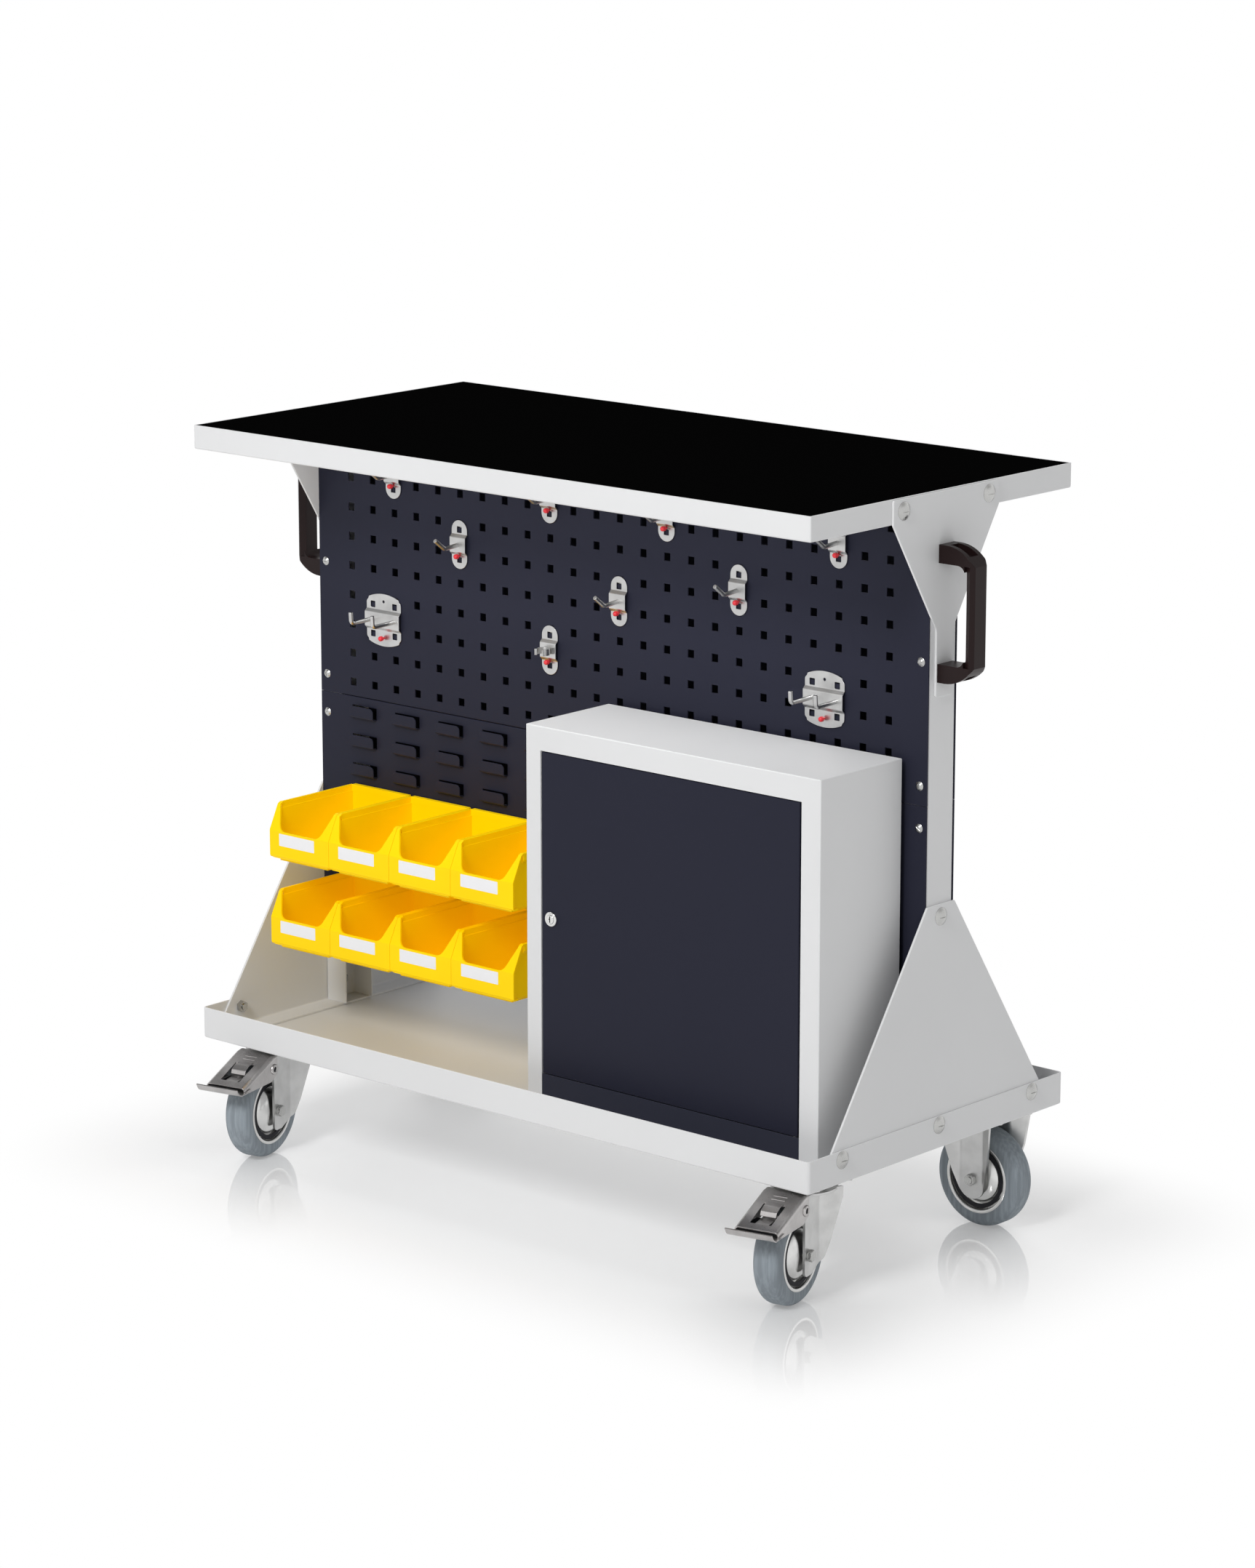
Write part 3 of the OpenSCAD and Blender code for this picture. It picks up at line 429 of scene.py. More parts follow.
    def pick(self, kind: Pick, test: Test) -> "Part":
        """Selects what passes a test.

        Args:
            kind: Vertices, edges or faces.
            test: Gets the place in millimetres and the normal (an edge's direction).

        Returns:
            This part, ready for an edit.
        """
        self.use()
        bpy.context.tool_settings.mesh_select_mode = kind.value
        mesh = self.obj.data
        for items in (mesh.vertices, mesh.edges, mesh.polygons):
            items.foreach_set("select", [False] * len(items))
        points = mesh.vertices
        if kind is Pick.FACES:
            flags = [test(f.center / MM, f.normal) for f in mesh.polygons]
            mesh.polygons.foreach_set("select", flags)
        elif kind is Pick.EDGES:
            for edge in mesh.edges:
                a, b = (points[i].co for i in edge.vertices)
                edge.select = test((a + b) / (2 * MM), (b - a).normalized())
        else:
            for vert in points:
                vert.select = test(vert.co / MM, vert.normal)
        return self

    # ---- editing

    def act(self, operator: Callable, **settings: object) -> "Part":
        """Runs an edit-mode operator on what is selected.

        Args:
            operator: The operator.
            **settings: Its settings.

        Returns:
            This part.
        """
        bpy.ops.object.mode_set(mode="EDIT")
        operator(**settings)
        bpy.ops.object.mode_set(mode="OBJECT")
        return self

    def extrude(self, way: Vector) -> "Part":
        """Extrudes what is selected."""
        return self.act(bpy.ops.mesh.extrude_region_move,
                        TRANSFORM_OT_translate={"value": Vector(way) * MM})

    def move(self, way: Point) -> "Part":
        """Moves what is selected."""
        return self.act(bpy.ops.transform.translate, value=Vector(way) * MM)

    def inset(self, width: float) -> "Part":
        """Insets the selected faces."""
        return self.act(bpy.ops.mesh.inset, thickness=width * MM)

    def bevel(self, width: float, segments: int, kind: Pick = Pick.EDGES) -> "Part":
        """Bevels the selected edges, or the selected corners of a flat sheet."""
        return self.act(bpy.ops.mesh.bevel, offset=width * MM, segments=segments,
                        affect="VERTICES" if kind is Pick.VERTS else "EDGES")

    def bisect(self, place: Point, way: Point) -> "Part":
        """Cuts the whole mesh along a plane and keeps both sides."""
        self.all_of(Pick.FACES)
        return self.act(bpy.ops.mesh.bisect, plane_co=Vector(place) * MM, plane_no=way)

    def delete(self, kind: Pick, test: Test) -> "Part":
        """Deletes what passes a test."""
        self.pick(kind, test)
        return self.act(bpy.ops.mesh.delete, type=kind.name.rstrip("S"))

    def welded(self, gap: float = 0.01) -> "Part":
        """Merges points that are closer than a gap."""
        self.all_of(Pick.VERTS)
        return self.act(bpy.ops.mesh.remove_doubles, threshold=gap * MM)

    def outwards(self) -> "Part":
        """Turns the faces outwards."""
        self.all_of(Pick.FACES)
        return self.act(bpy.ops.mesh.normals_make_consistent, inside=False)

    def modify(self, kind: str, **settings: object) -> "Part":
        """Adds a modifier and applies it.

        Args:
            kind: Blender's name for the modifier.
            **settings: Its settings.

        Returns:
            This part.
        """
        self.use()
        modifier = self.obj.modifiers.new(kind.title(), kind)
        for key, value in settings.items():
            setattr(modifier, key, value)
        bpy.ops.object.modifier_apply(modifier=modifier.name)
        return self

    def repeat(self, count: int, step: Point, merge: bool = False) -> "Part":
        """Repeats the mesh in a row.

        Args:
            count: How many there are in the row.
            step: From one to the next.
            merge: Whether edges that meet are joined.

        Returns:
            This part.
        """
        return self.modify("ARRAY", count=count, use_relative_offset=False,
                           use_constant_offset=True,
                           constant_offset_displace=Vector(step) * MM,
                           use_merge_vertices=merge, merge_threshold=0.01 * MM)

    def cut(self, *tools: "Part") -> "Part":
        """Takes other parts away from this one and removes them.

        Args:
            *tools: The parts to take away.

        Returns:
            This part.
        """
        for tool in tools:
            self.modify("BOOLEAN", operation="DIFFERENCE", object=tool.obj, solver="EXACT")
            tool.discard()
        return self

    def keep(self, form: "Part") -> "Part":
        """Keeps what lies inside another part and removes that one.

        Args:
            form: The part that bounds what is kept.

        Returns:
            This part.
        """
        self.modify("BOOLEAN", operation="INTERSECT", object=form.obj, solver="EXACT")
        form.discard()
        return self

    def discard(self) -> None:
        """Removes the part."""
        bpy.data.objects.remove(self.obj, do_unlink=True)

    def soften(self, width: float, segments: int = 2, angle: float = 30.0) -> "Part":
        """Rounds every sharp edge.

        Args:
            width: Size of the rounding.
            segments: Faces across it.
            angle: Edges sharper than this are rounded, in degrees.

        Returns:
            This part.
        """
        return self.modify("BEVEL", width=width * MM, segments=segments,
                           limit_method="ANGLE", angle_limit=math.radians(angle),
                           use_clamp_overlap=True)

    def smooth(self) -> "Part":
        """Shades the rounded edges smooth and keeps large faces flat."""
        self.use()
        bpy.ops.object.shade_smooth_by_angle(angle=math.radians(SHARP))
        return self.modify("WEIGHTED_NORMAL", keep_sharp=True, weight=60)

    def join(self, *others: "Part") -> "Part":
        """Joins other parts into this one.

        Args:
            *others: The parts, which end up in this one's mesh.

        Returns:
            This part.
        """
        self.use()
        for other in others:
            other.obj.select_set(True)
        if others:
            bpy.ops.object.join()
        return self

    def twin(self, name: str) -> "Part":
        """Copies the part with its own mesh.

        Args:
            name: Name of the copy.

        Returns:
            The copy.
        """
        obj = self.obj.copy()
        obj.data = self.obj.data.copy()
        obj.name = obj.data.name = name
        bpy.context.scene.collection.objects.link(obj)
        return Part(obj)

    def place(self, offset: Point = (0, 0, 0), turn: Point = (0, 0, 0),
              size: Point = (1, 1, 1)) -> "Part":
        """Moves, turns and scales the part and applies that to its mesh.

        Args:
            offset: Where its origin goes.
            turn: Angles about X, Y and Z in degrees.
            size: Scale; a negative value mirrors.

        Returns:
            This part.
        """
        self.use()
        self.obj.location = Vector(offset) * MM
        self.obj.rotation_euler = [math.radians(a) for a in turn]
        self.obj.scale = size
        bpy.ops.object.transform_apply(location=True, rotation=True, scale=True)
        return self.outwards() if size[0] * size[1] * size[2] < 0 else self

    def ready(self, coat: "Coat", body: str, *nodes: str) -> "Part":
        """Finishes the piece and hands it to the frame.

        Args:
            coat: Its finish.
            body: The CAD body that it rides on.
            *nodes: CAD nodes that it stands for.

        Returns:
            This part.
        """
        finish = coat.value
        self.smooth()
        self.obj.data.materials.clear()
        self.obj.data.materials.append(finish.material)
        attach(self.obj, body)
        if nodes:
            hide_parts(*nodes)
        return self


# ---------------- finishes

Value = Union["Signal", float, Sequence[float]]
Key = Union[str, int]


class Signal:
    """A value on its way through a material. Arithmetic on it adds Math nodes."""

    def __init__(self, graph: "Graph", socket: bpy.types.NodeSocket) -> None:
        """Wraps an output socket.

        Args:
            graph: The material that it belongs to.
            socket: The socket that gives the value.
        """
        self.graph = graph
        self.socket = socket

    def _maths(self, kind: str, first: Value, second: Value) -> "Signal":
        """Adds one Math node and gives its result."""
        return self.graph.add("ShaderNodeMath", {"operation": kind}, {0: first, 1: second})

    def __add__(self, other: Value) -> "Signal":
        """Sum with a value or a signal."""
        return self._maths("ADD", self, other)

    __radd__ = __add__

    def __sub__(self, other: Value) -> "Signal":
        """This signal less another value."""
        return self._maths("SUBTRACT", self, other)

    def __rsub__(self, other: Value) -> "Signal":
        """A value less this signal."""
        return self._maths("SUBTRACT", other, self)

    def __mul__(self, other: Value) -> "Signal":
        """Product with a value or a signal."""
        return self._maths("MULTIPLY", self, other)

    __rmul__ = __mul__

    def __pow__(self, other: Value) -> "Signal":
        """This signal raised to a power."""
        return self._maths("POWER", self, other)

    def __abs__(self) -> "Signal":
        """This signal without its sign."""
        return self._maths("ABSOLUTE", self, 0.0)

    def over_by(self, limit: Value) -> "Signal":
        """How far the value is above a limit, else nothing."""
        return self._maths("MAXIMUM", self - limit, 0.0)

    def between(self, low: float, high: float) -> "Signal":
        """Goes smoothly from nothing at one value to one at another."""
        return self.graph.add("ShaderNodeMapRange", {"interpolation_type": "SMOOTHSTEP"},
                              {"Value": self, "From Min": low, "From Max": high})

    def mix(self, low: Colour, high: Colour) -> "Signal":
        """Blends two colours by this value."""
        return self.graph.add("ShaderNodeMix", {"data_type": "RGBA"},
                              {0: self, 6: (*low, 1.0), 7: (*high, 1.0)}, 2)


class Graph:
    """Node tree of one material or of the world."""

    def __init__(self, owner: Union[bpy.types.Material, bpy.types.World]) -> None:
        """Empties the owner's tree.

        Args:
            owner: The material or the world.
        """
        owner.use_nodes = True
        self.tree = owner.node_tree
        self.tree.nodes.clear()

    def add(self, kind: str, settings: Optional[dict[str, object]] = None,
            inputs: Optional[dict[Key, Value]] = None, out: Key = 0) -> Signal:
        """Adds a node.

        Args:
            kind: Blender's name for the node.
            settings: Its properties, set first.
            inputs: Values or signals for its inputs.
            out: The output to return.

        Returns:
            The output as a signal.
        """
        node = self.tree.nodes.new(kind)
        for key, value in (settings or {}).items():
            setattr(node, key, value)
        for key, value in (inputs or {}).items():
            if isinstance(value, Signal):
                self.tree.links.new(value.socket, node.inputs[key])
            else:
                node.inputs[key].default_value = value
        return Signal(self, node.outputs[out]) if len(node.outputs) else Signal(self, None)

    def place(self) -> Signal:
        """Place on the object, in metres."""
        return self.add("ShaderNodeTexCoord", out="Object")

    def axis(self, name: str) -> Signal:
        """One coordinate of the place on the object, in metres."""
        return self.add("ShaderNodeSeparateXYZ", {}, {0: self.place()}, name)

    def noise(self, scale: float, detail: float = 2.0, stretch: Point = (1, 1, 1)) -> Signal:
        """Cloudy pattern from nothing to one.

        Args:
            scale: Features per metre.
            detail: How many finer layers it has.
            stretch: Scale of the pattern on each axis.

        Returns:
            The pattern.
        """
        where = self.add("ShaderNodeMapping", {}, {"Vector": self.place(), "Scale": stretch})
        return self.add("ShaderNodeTexNoise", {},
                        {"Vector": where, "Scale": scale, "Detail": detail})

    def bump(self, height: Value, strength: float, depth: float) -> Signal:
        """Turns a height pattern into a normal; depth is in millimetres."""
        return self.add("ShaderNodeBump", {}, {"Height": height, "Strength": strength,
                                               "Distance": depth * MM})


@dataclass(frozen=True)
class Finish:
    """A plain smooth surface.

    Attributes:
        name: Name of the material.
        slot: Name of its material slot; not used.
        color: Base colour.
        rough: Roughness.
        metal: How metallic it is.
        shine: Strength of the clear reflection, 0.5 for common plastics.
    """

    name: str
    slot: str
    color: Colour
    rough: float = 0.4
    metal: float = 0.0
    shine: float = 0.5

    _made: ClassVar[dict[str, bpy.types.Material]] = {}

    def tone(self, factor: float) -> Colour:
        """The base colour, made darker or lighter by a factor."""
        return tuple(min(1.0, part * factor) for part in self.color)

    def uneven(self, pattern: Signal, spread: float) -> Signal:
        """Roughness that strays from the finish's own by half a spread each way."""
        return pattern * spread + (self.rough - spread / 2)

    def surface(self, graph: Graph) -> dict[Key, Value]:
        """What varies over the surface.

        Args:
            graph: The material's node tree.

        Returns:
            Inputs of the shader by name.
        """
        return {"Roughness": self.uneven(graph.noise(14.0).between(0.2, 0.8), 0.06)}

    @property
    def material(self) -> bpy.types.Material:
        """The material, made on first use.

        Returns:
            The material, the same one each time.
        """
        if self.name not in self._made:
            material = bpy.data.materials.new(self.name)
            graph = Graph(material)
            inputs: dict[Key, Value] = {
                "Base Color": (*self.color, 1.0), "Roughness": self.rough,
                "Metallic": self.metal, "Specular IOR Level": self.shine}
            inputs.update(self.surface(graph))
            shader = graph.add("ShaderNodeBsdfPrincipled", {}, inputs)
            graph.add("ShaderNodeOutputMaterial", {}, {"Surface": shader})
            self._made[self.name] = material
        return self._made[self.name]


@dataclass(frozen=True)
class PowderCoat(Finish):
    """Paint baked from powder, with the fine dimples of orange peel.

    Attributes:
        peel: Strength of the dimples.
    """

    peel: float = 0.25

    def surface(self, graph: Graph) -> dict[Key, Value]:
        """See Finish."""
        film = graph.noise(2.2, 3.0).between(0.25, 0.75)
        cloud = graph.noise(6.0).between(0.2, 0.8)
        return {"Base Color": film.mix(self.tone(0.97), self.tone(1.02)),
                "Roughness": self.uneven(cloud, 0.08),
                "Normal": graph.bump(graph.noise(650.0, 1.0), self.peel, 0.05)}


@dataclass(frozen=True)
class Zinc(Finish):
    """Plated sheet steel with faint rolling streaks.

    Attributes:
        streak: How the streak pattern is scaled on each axis.
    """

    streak: Point = (1.0, 1.0, 0.06)

    def surface(self, graph: Graph) -> dict[Key, Value]:
        """See Finish."""
        streaks = graph.noise(900.0, 2.0, self.streak)
        cloud = graph.noise(45.0, 3.0).between(0.3, 0.7)
        return {"Base Color": cloud.mix(self.tone(0.86), self.color),
                "Roughness": self.uneven(streaks, 0.16),
                "Normal": graph.bump(streaks, 0.12, 0.03)}


@dataclass(frozen=True)
class Grained(Finish):
    """Moulded plastic or rubber with a fine spark-eroded grain.

    Attributes:
        grain: Strength of the grain.
        size: Grains per metre.
        glow: Painted glow: light that the plastic gives off by itself, as a share of its colour,
            which brightens its shaded insides.
    """

    grain: float = 0.3
    size: float = 1600.0
    glow: float = 0.0

    def surface(self, graph: Graph) -> dict[Key, Value]:
        """See Finish."""
        cloud = graph.noise(9.0).between(0.25, 0.75)
        return {"Base Color": cloud.mix(self.tone(0.94), self.color),
                # Painted glow: the plastic gives off its own colour as light, at the glow's
                # strength.
                "Emission Color": (*self.color, 1.0), "Emission Strength": self.glow,
                "Roughness": self.uneven(cloud, 0.08),
                "Normal": graph.bump(graph.noise(self.size), self.grain, 0.04)}


@dataclass(frozen=True)
class WornRubber(Grained):
    """Rubber with faint streaks from rolling."""

    def surface(self, graph: Graph) -> dict[Key, Value]:
        """See Finish."""
        streaks = graph.noise(230.0, 3.0, (1.0, 1.0, 0.05)).between(0.35, 0.7)
        return {**super().surface(graph),
                "Base Color": streaks.mix(self.tone(0.88), self.tone(1.16))}


@dataclass(frozen=True)
class RibbedRubber(Finish):
    """Rubber matting with fine ribs along its length.

    Attributes:
        pitch: From rib to rib, in millimetres.
    """

    pitch: float = 3.0

    def surface(self, graph: Graph) -> dict[Key, Value]:
        """See Finish."""
        turns = graph.axis("Y") * (2 * math.pi / (self.pitch * MM))
        wave = graph.add("ShaderNodeMath", {"operation": "SINE"}, {0: turns})
        height = wave * 0.5 + graph.noise(1200.0) * 0.2
        return {"Roughness": self.uneven(graph.noise(8.0).between(0.2, 0.8), 0.1),
                "Normal": graph.bump(height, 0.6, 0.3)}


@dataclass(frozen=True)
class Chipboard(Finish):
    """Pressed wood chips."""

    def surface(self, graph: Graph) -> dict[Key, Value]:
        """See Finish."""
        chips = graph.add("ShaderNodeTexVoronoi", {}, {"Vector": graph.place(),
                                                       "Scale": 420.0}, "Distance")
        return {"Base Color": chips.between(0.0, 0.7).mix(self.tone(0.62), self.color),
                "Normal": graph.bump(chips, 0.4, 0.3)}


class Coat(Enum):
    """The finishes of the trolley."""

    FRAME = PowderCoat("frame_powder", "frame_paint", (0.738, 0.742, 0.748), 0.42, shine=0.3)
    PANEL = PowderCoat("panel_powder", "panel_paint", (0.020, 0.021, 0.035), 0.40, shine=0.08)
    # Painted light: the kick plate's paint is lighter than the panel's to offset the shade it
    # gets, set back below the door.
    KICK = PowderCoat("kick_powder", "panel_paint", (0.033, 0.035, 0.052), 0.40, shine=0.08)
    CORE = Chipboard("chipboard_core", "worktop_core", (0.62, 0.45, 0.26), 0.8)
    MAT = RibbedRubber("rubber_mat", "mat_rubber", (0.002, 0.002, 0.002), 0.6, shine=0.0)
    ZINC = Zinc("zinc_sheet", "zinc", (0.60, 0.60, 0.595), 0.34, 1.0)
    PRESSED = Zinc("zinc_pedal", "zinc", (0.50, 0.485, 0.48), 0.30, 1.0)
    STEEL = Zinc("zinc_fastener", "zinc", (0.52, 0.52, 0.51), 0.26, 1.0)
    RIM = Zinc("zinc_rim", "zinc", (0.72, 0.72, 0.71), 0.22, 1.0)
    GRIP = Grained("grip_plastic", "grip_plastic", (0.014, 0.007, 0.007), 0.36, shine=0.15)
    CHROME = Finish("lock_chrome", "lock_chrome", (0.72, 0.72, 0.71), 0.14, 1.0)
    RED = Grained("red_plastic", "pin_red", (0.78, 0.025, 0.04), 0.3, grain=0.05)
    TYRE = WornRubber("tyre_rubber", "tyre_grey", (0.26, 0.295, 0.325), 0.6, shine=0.2)
    # The bins carry a painted glow that lifts their shaded insides.
    BIN = Grained("bin_plastic", "bin_yellow", (1.0, 0.668, 0.0), 0.42, shine=0.12, grain=0.12,
                  glow=0.11)
    # Painted shade: a near-black finish for pieces that stand in for shade in the pedal and the
    # hub's grooves.
    SHADE = Finish("dark_recess", "", (0.028, 0.028, 0.032), 0.6, shine=0.1)
    PAPER = Finish("label_paper", "", (0.86, 0.86, 0.87), 0.6, shine=0.1)


# ---------------- studio


@dataclass(frozen=True)
class Lamp:
    """A soft area light aimed at the trolley.

    Attributes:
        name: Its name.
        place: Where it stands, in metres.
        size: Its width and height, in metres.
        power: Its power in watts.
        mirrored: Whether smooth surfaces show it.
    """

    name: str
    place: Point
    size: Flat
    power: float
    mirrored: bool = True

    def build(self, target: Vector) -> None:
        """Adds the light.

        Args:
            target: The point that it faces.
        """
        bpy.ops.object.light_add(type="AREA", location=self.place)
        lamp = bpy.context.object
        lamp.name = self.name
        lamp.data.shape = "RECTANGLE"
        lamp.data.size, lamp.data.size_y = self.size
        lamp.data.energy = self.power
        lamp.visible_camera = False
        lamp.visible_glossy = self.mirrored
        lamp.rotation_euler = (target - Vector(self.place)).to_track_quat("-Z", "Y").to_euler()


@dataclass(frozen=True)
class Studio:
    """White studio: floor, soft lights and camera.

    Attributes:
        eye, lens: Place of the camera in metres, and its focal length in millimetres.
        pitch, yaw: How far it looks down, and its turn about the vertical, in degrees.
        ambient: Brightness of the surroundings.
        overhead: Brightness straight above, as smooth surfaces mirror it.
        target: Height that the lights are aimed at, in metres.
        shadow: How much of the shadow the floor keeps.
        shadow_reach: How far past the tray the shadow fades out, in metres.
        mirror: How strongly the floor mirrors the wheels where they touch it.
        mirror_reach: How far ahead of a wheel its mirror image fades out, in metres.
        mirror_squeeze: How much faster it fades sideways.
        mirror_edge: Where it sets in behind and ahead of the axle, in metres.
        lamps: The lights.
    """

    eye: Point = (3.9059, -4.3979, 1.8983)
    lens: float = 112.8
    pitch: float = 13.16
    yaw: float = 41.32
    ambient: float = 0.46
    overhead: float = 0.2
    target: float = 0.45
    shadow: float = 0.65
    shadow_reach: float = 0.28
    mirror: float = 0.3
    mirror_reach: float = 0.38
    mirror_squeeze: float = 2.2
    mirror_edge: Flat = (-0.05, 0.02)
    lamps: tuple[Lamp, ...] = (
        Lamp("key", (0.9, -4.6, 3.9), (1.4, 1.4), 160.0),
        Lamp("back", (-2.6, 3.4, 2.6), (2.0, 2.0), 60.0, False),
        Lamp("below_top", (0.0, -0.12, 0.9), (0.9, 0.2), 1.1, False))

    def beyond_tray(self, x: Signal, y: Signal) -> Signal:
        """Distance from the tray's outline, seen from above.

        Args:
            x: Place on the floor along X.
            y: Place on the floor along Y.

        Returns:
            The distance in metres, nothing below the tray.
        """
        tray = Span.of("base_tray")
        gap_x = abs(x - tray.cx * MM).over_by((tray.x1 - tray.x0) / 2 * MM)
        gap_y = abs(y - tray.cy * MM).over_by((tray.y1 - tray.y0) / 2 * MM)
        return (gap_x * gap_x + gap_y * gap_y) ** 0.5

    def near_wheels(self, x: Signal, y: Signal) -> Signal:
        """Patches ahead of the wheels, towards the camera.

        Args:
            x: Place on the floor along X.
            y: Place on the floor along Y.

        Returns:
            One at a wheel's foot, fading to nothing.
        """
        turn = math.radians(self.yaw)
        near: Value = 0.0
        for wheel in MIRRORED:
            spot = Span.of(f"tyre_{wheel}")
            dx, dy = x - spot.cx * MM, y - spot.cy * MM
            ahead = dx * math.sin(turn) - dy * math.cos(turn)
            beside = (dx * math.cos(turn) + dy * math.sin(turn)) * self.mirror_squeeze
            away = (ahead * ahead + beside * beside) ** 0.5
            reach = 1.0 - away.between(0.0, self.mirror_reach)
            near = reach * ahead.between(*self.mirror_edge) + near
        return near

    def floor(self) -> None:
        """A floor that keeps a soft shadow, mirrors the wheels and melts into white."""
        bpy.ops.mesh.primitive_plane_add(size=16.0, location=(0, 0, 0))
        ground = bpy.context.object
        ground.name = "studio_floor"
        material = bpy.data.materials.new("studio_floor")
        graph = Graph(material)
        path = graph.add("ShaderNodeLightPath", out="Is Diffuse Ray")
        x, y = graph.axis("X"), graph.axis("Y")
        away, near = self.beyond_tray(x, y), self.near_wheels(x, y)
        paint = graph.add("ShaderNodeBsdfDiffuse", {}, {"Color": (0.9, 0.9, 0.9, 1.0)})
        glow = graph.add("ShaderNodeEmission", {}, {"Color": (1, 1, 1, 1), "Strength": 1.0})
        glass = graph.add("ShaderNodeBsdfGlossy", {}, {"Color": (1, 1, 1, 1), "Roughness": 0.0})
        white = away.between(0.0, self.shadow_reach) * self.shadow + (1.0 - self.shadow)
        shader = graph.add("ShaderNodeMixShader", {},
                           {0: white * (1.0 - path), 1: paint, 2: glow})
        shader = graph.add("ShaderNodeMixShader", {},
                           {0: near * self.mirror * (1.0 - path), 1: shader, 2: glass})
        graph.add("ShaderNodeOutputMaterial", {}, {"Surface": shader})
        ground.data.materials.append(material)

    def sky(self) -> None:
        """White surroundings, dark overhead where only smooth surfaces show it."""
        world = bpy.data.worlds.new("studio")
        bpy.context.scene.world = world
        graph = Graph(world)
        seen = graph.add("ShaderNodeLightPath", out="Is Camera Ray")
        glossy = graph.add("ShaderNodeLightPath", out="Is Glossy Ray")
        way = graph.add("ShaderNodeTexCoord", out="Generated")
        high = graph.add("ShaderNodeSeparateXYZ", {}, {0: way}, "Z")
        mirrored = 1.0 - high.between(0.3, 0.85) * (1.0 - self.overhead)
        strength = (self.ambient + seen * (1.0 - self.ambient)
                    + glossy * (mirrored - self.ambient))
        shader = graph.add("ShaderNodeBackground", {}, {"Color": (1, 1, 1, 1),
                                                        "Strength": strength})
        graph.add("ShaderNodeOutputWorld", {}, {"Surface": shader})

    def camera(self) -> None:
        """A long lens in front of the right end, a little above the worktop."""
        bpy.ops.object.camera_add(
            location=self.eye,
            rotation=(math.radians(90 - self.pitch), 0, math.radians(self.yaw)))
        camera = bpy.context.object
        camera.name = "camera"
        camera.data.lens = self.lens
        camera.data.clip_end = 50.0
        bpy.context.scene.camera = camera

    def build(self) -> None:
        """Sets the studio up."""
        self.floor()
        self.sky()
        for lamp in self.lamps:
            lamp.build(Vector((0, 0, self.target)))
        self.camera()
        bpy.context.scene.view_settings.view_transform = "Standard"
        LOG.info("studio ready with %d lamps", len(self.lamps))


# ---------------- assemblies


class Side(Enum):
    """Left or right half of the trolley."""

    LEFT = -1
    RIGHT = 1

    @property
    def word(self) -> str:
        """The side's name, as CAD nodes end with it."""
        return self.name.lower()

    @property
    def turn(self) -> Point:
        """Turn that makes a part modelled on the right face outwards on this side."""
        return (0, 0, 0) if self is Side.RIGHT else (0, 0, 180)


@dataclass
class Assembly:
    """A group of pieces that is built together."""

    def build(self) -> None:
        """Models the pieces and logs them."""
        raise NotImplementedError

    @staticmethod
    def report(part: Part) -> None:
        """Logs one finished piece."""
        LOG.info("%s: %d faces", part.obj.name, len(part.obj.data.polygons))

    @staticmethod
    def dress(node: str, coat: Coat, width: float) -> Part:
        """Copies a CAD node of the frame and rounds its edges.

        Args:
            node: The node.
            coat: Its finish.
            width: Size of the rounding.

        Returns:
            The finished piece.
        """
        return Part.of_node(node).soften(width).ready(coat, "frame", node)

    @staticmethod
    def pan(name: str, s: Span, sheet: float, corner: float, bend: float) -> Part:
        """An open pan of sheet steel with its rim turned up.

        Args:
            name: Name of the part.
            s: The box that it fills.
            sheet: Thickness of the sheet.
            corner: Radius of its upright corners.
            bend: Radius of the bend below the rim.

        Returns:
            The pan.
        """
        outline = filleted(box_outline(s.x0, s.y0, s.x1, s.y1), corner)
        part = Part.prism(name, outline, Axis.Z, s.z0, s.z1)
        part.pick(Pick.FACES, lambda place, way: way.z > 0.9)
        part.inset(sheet).extrude(Vector((0, 0, s.z0 + sheet - s.z1)))
        part.pick(Pick.EDGES, lambda place, way: place.z < s.z0 + 0.1 and abs(way.z) < 0.1)
        return part.bevel(bend, 4)


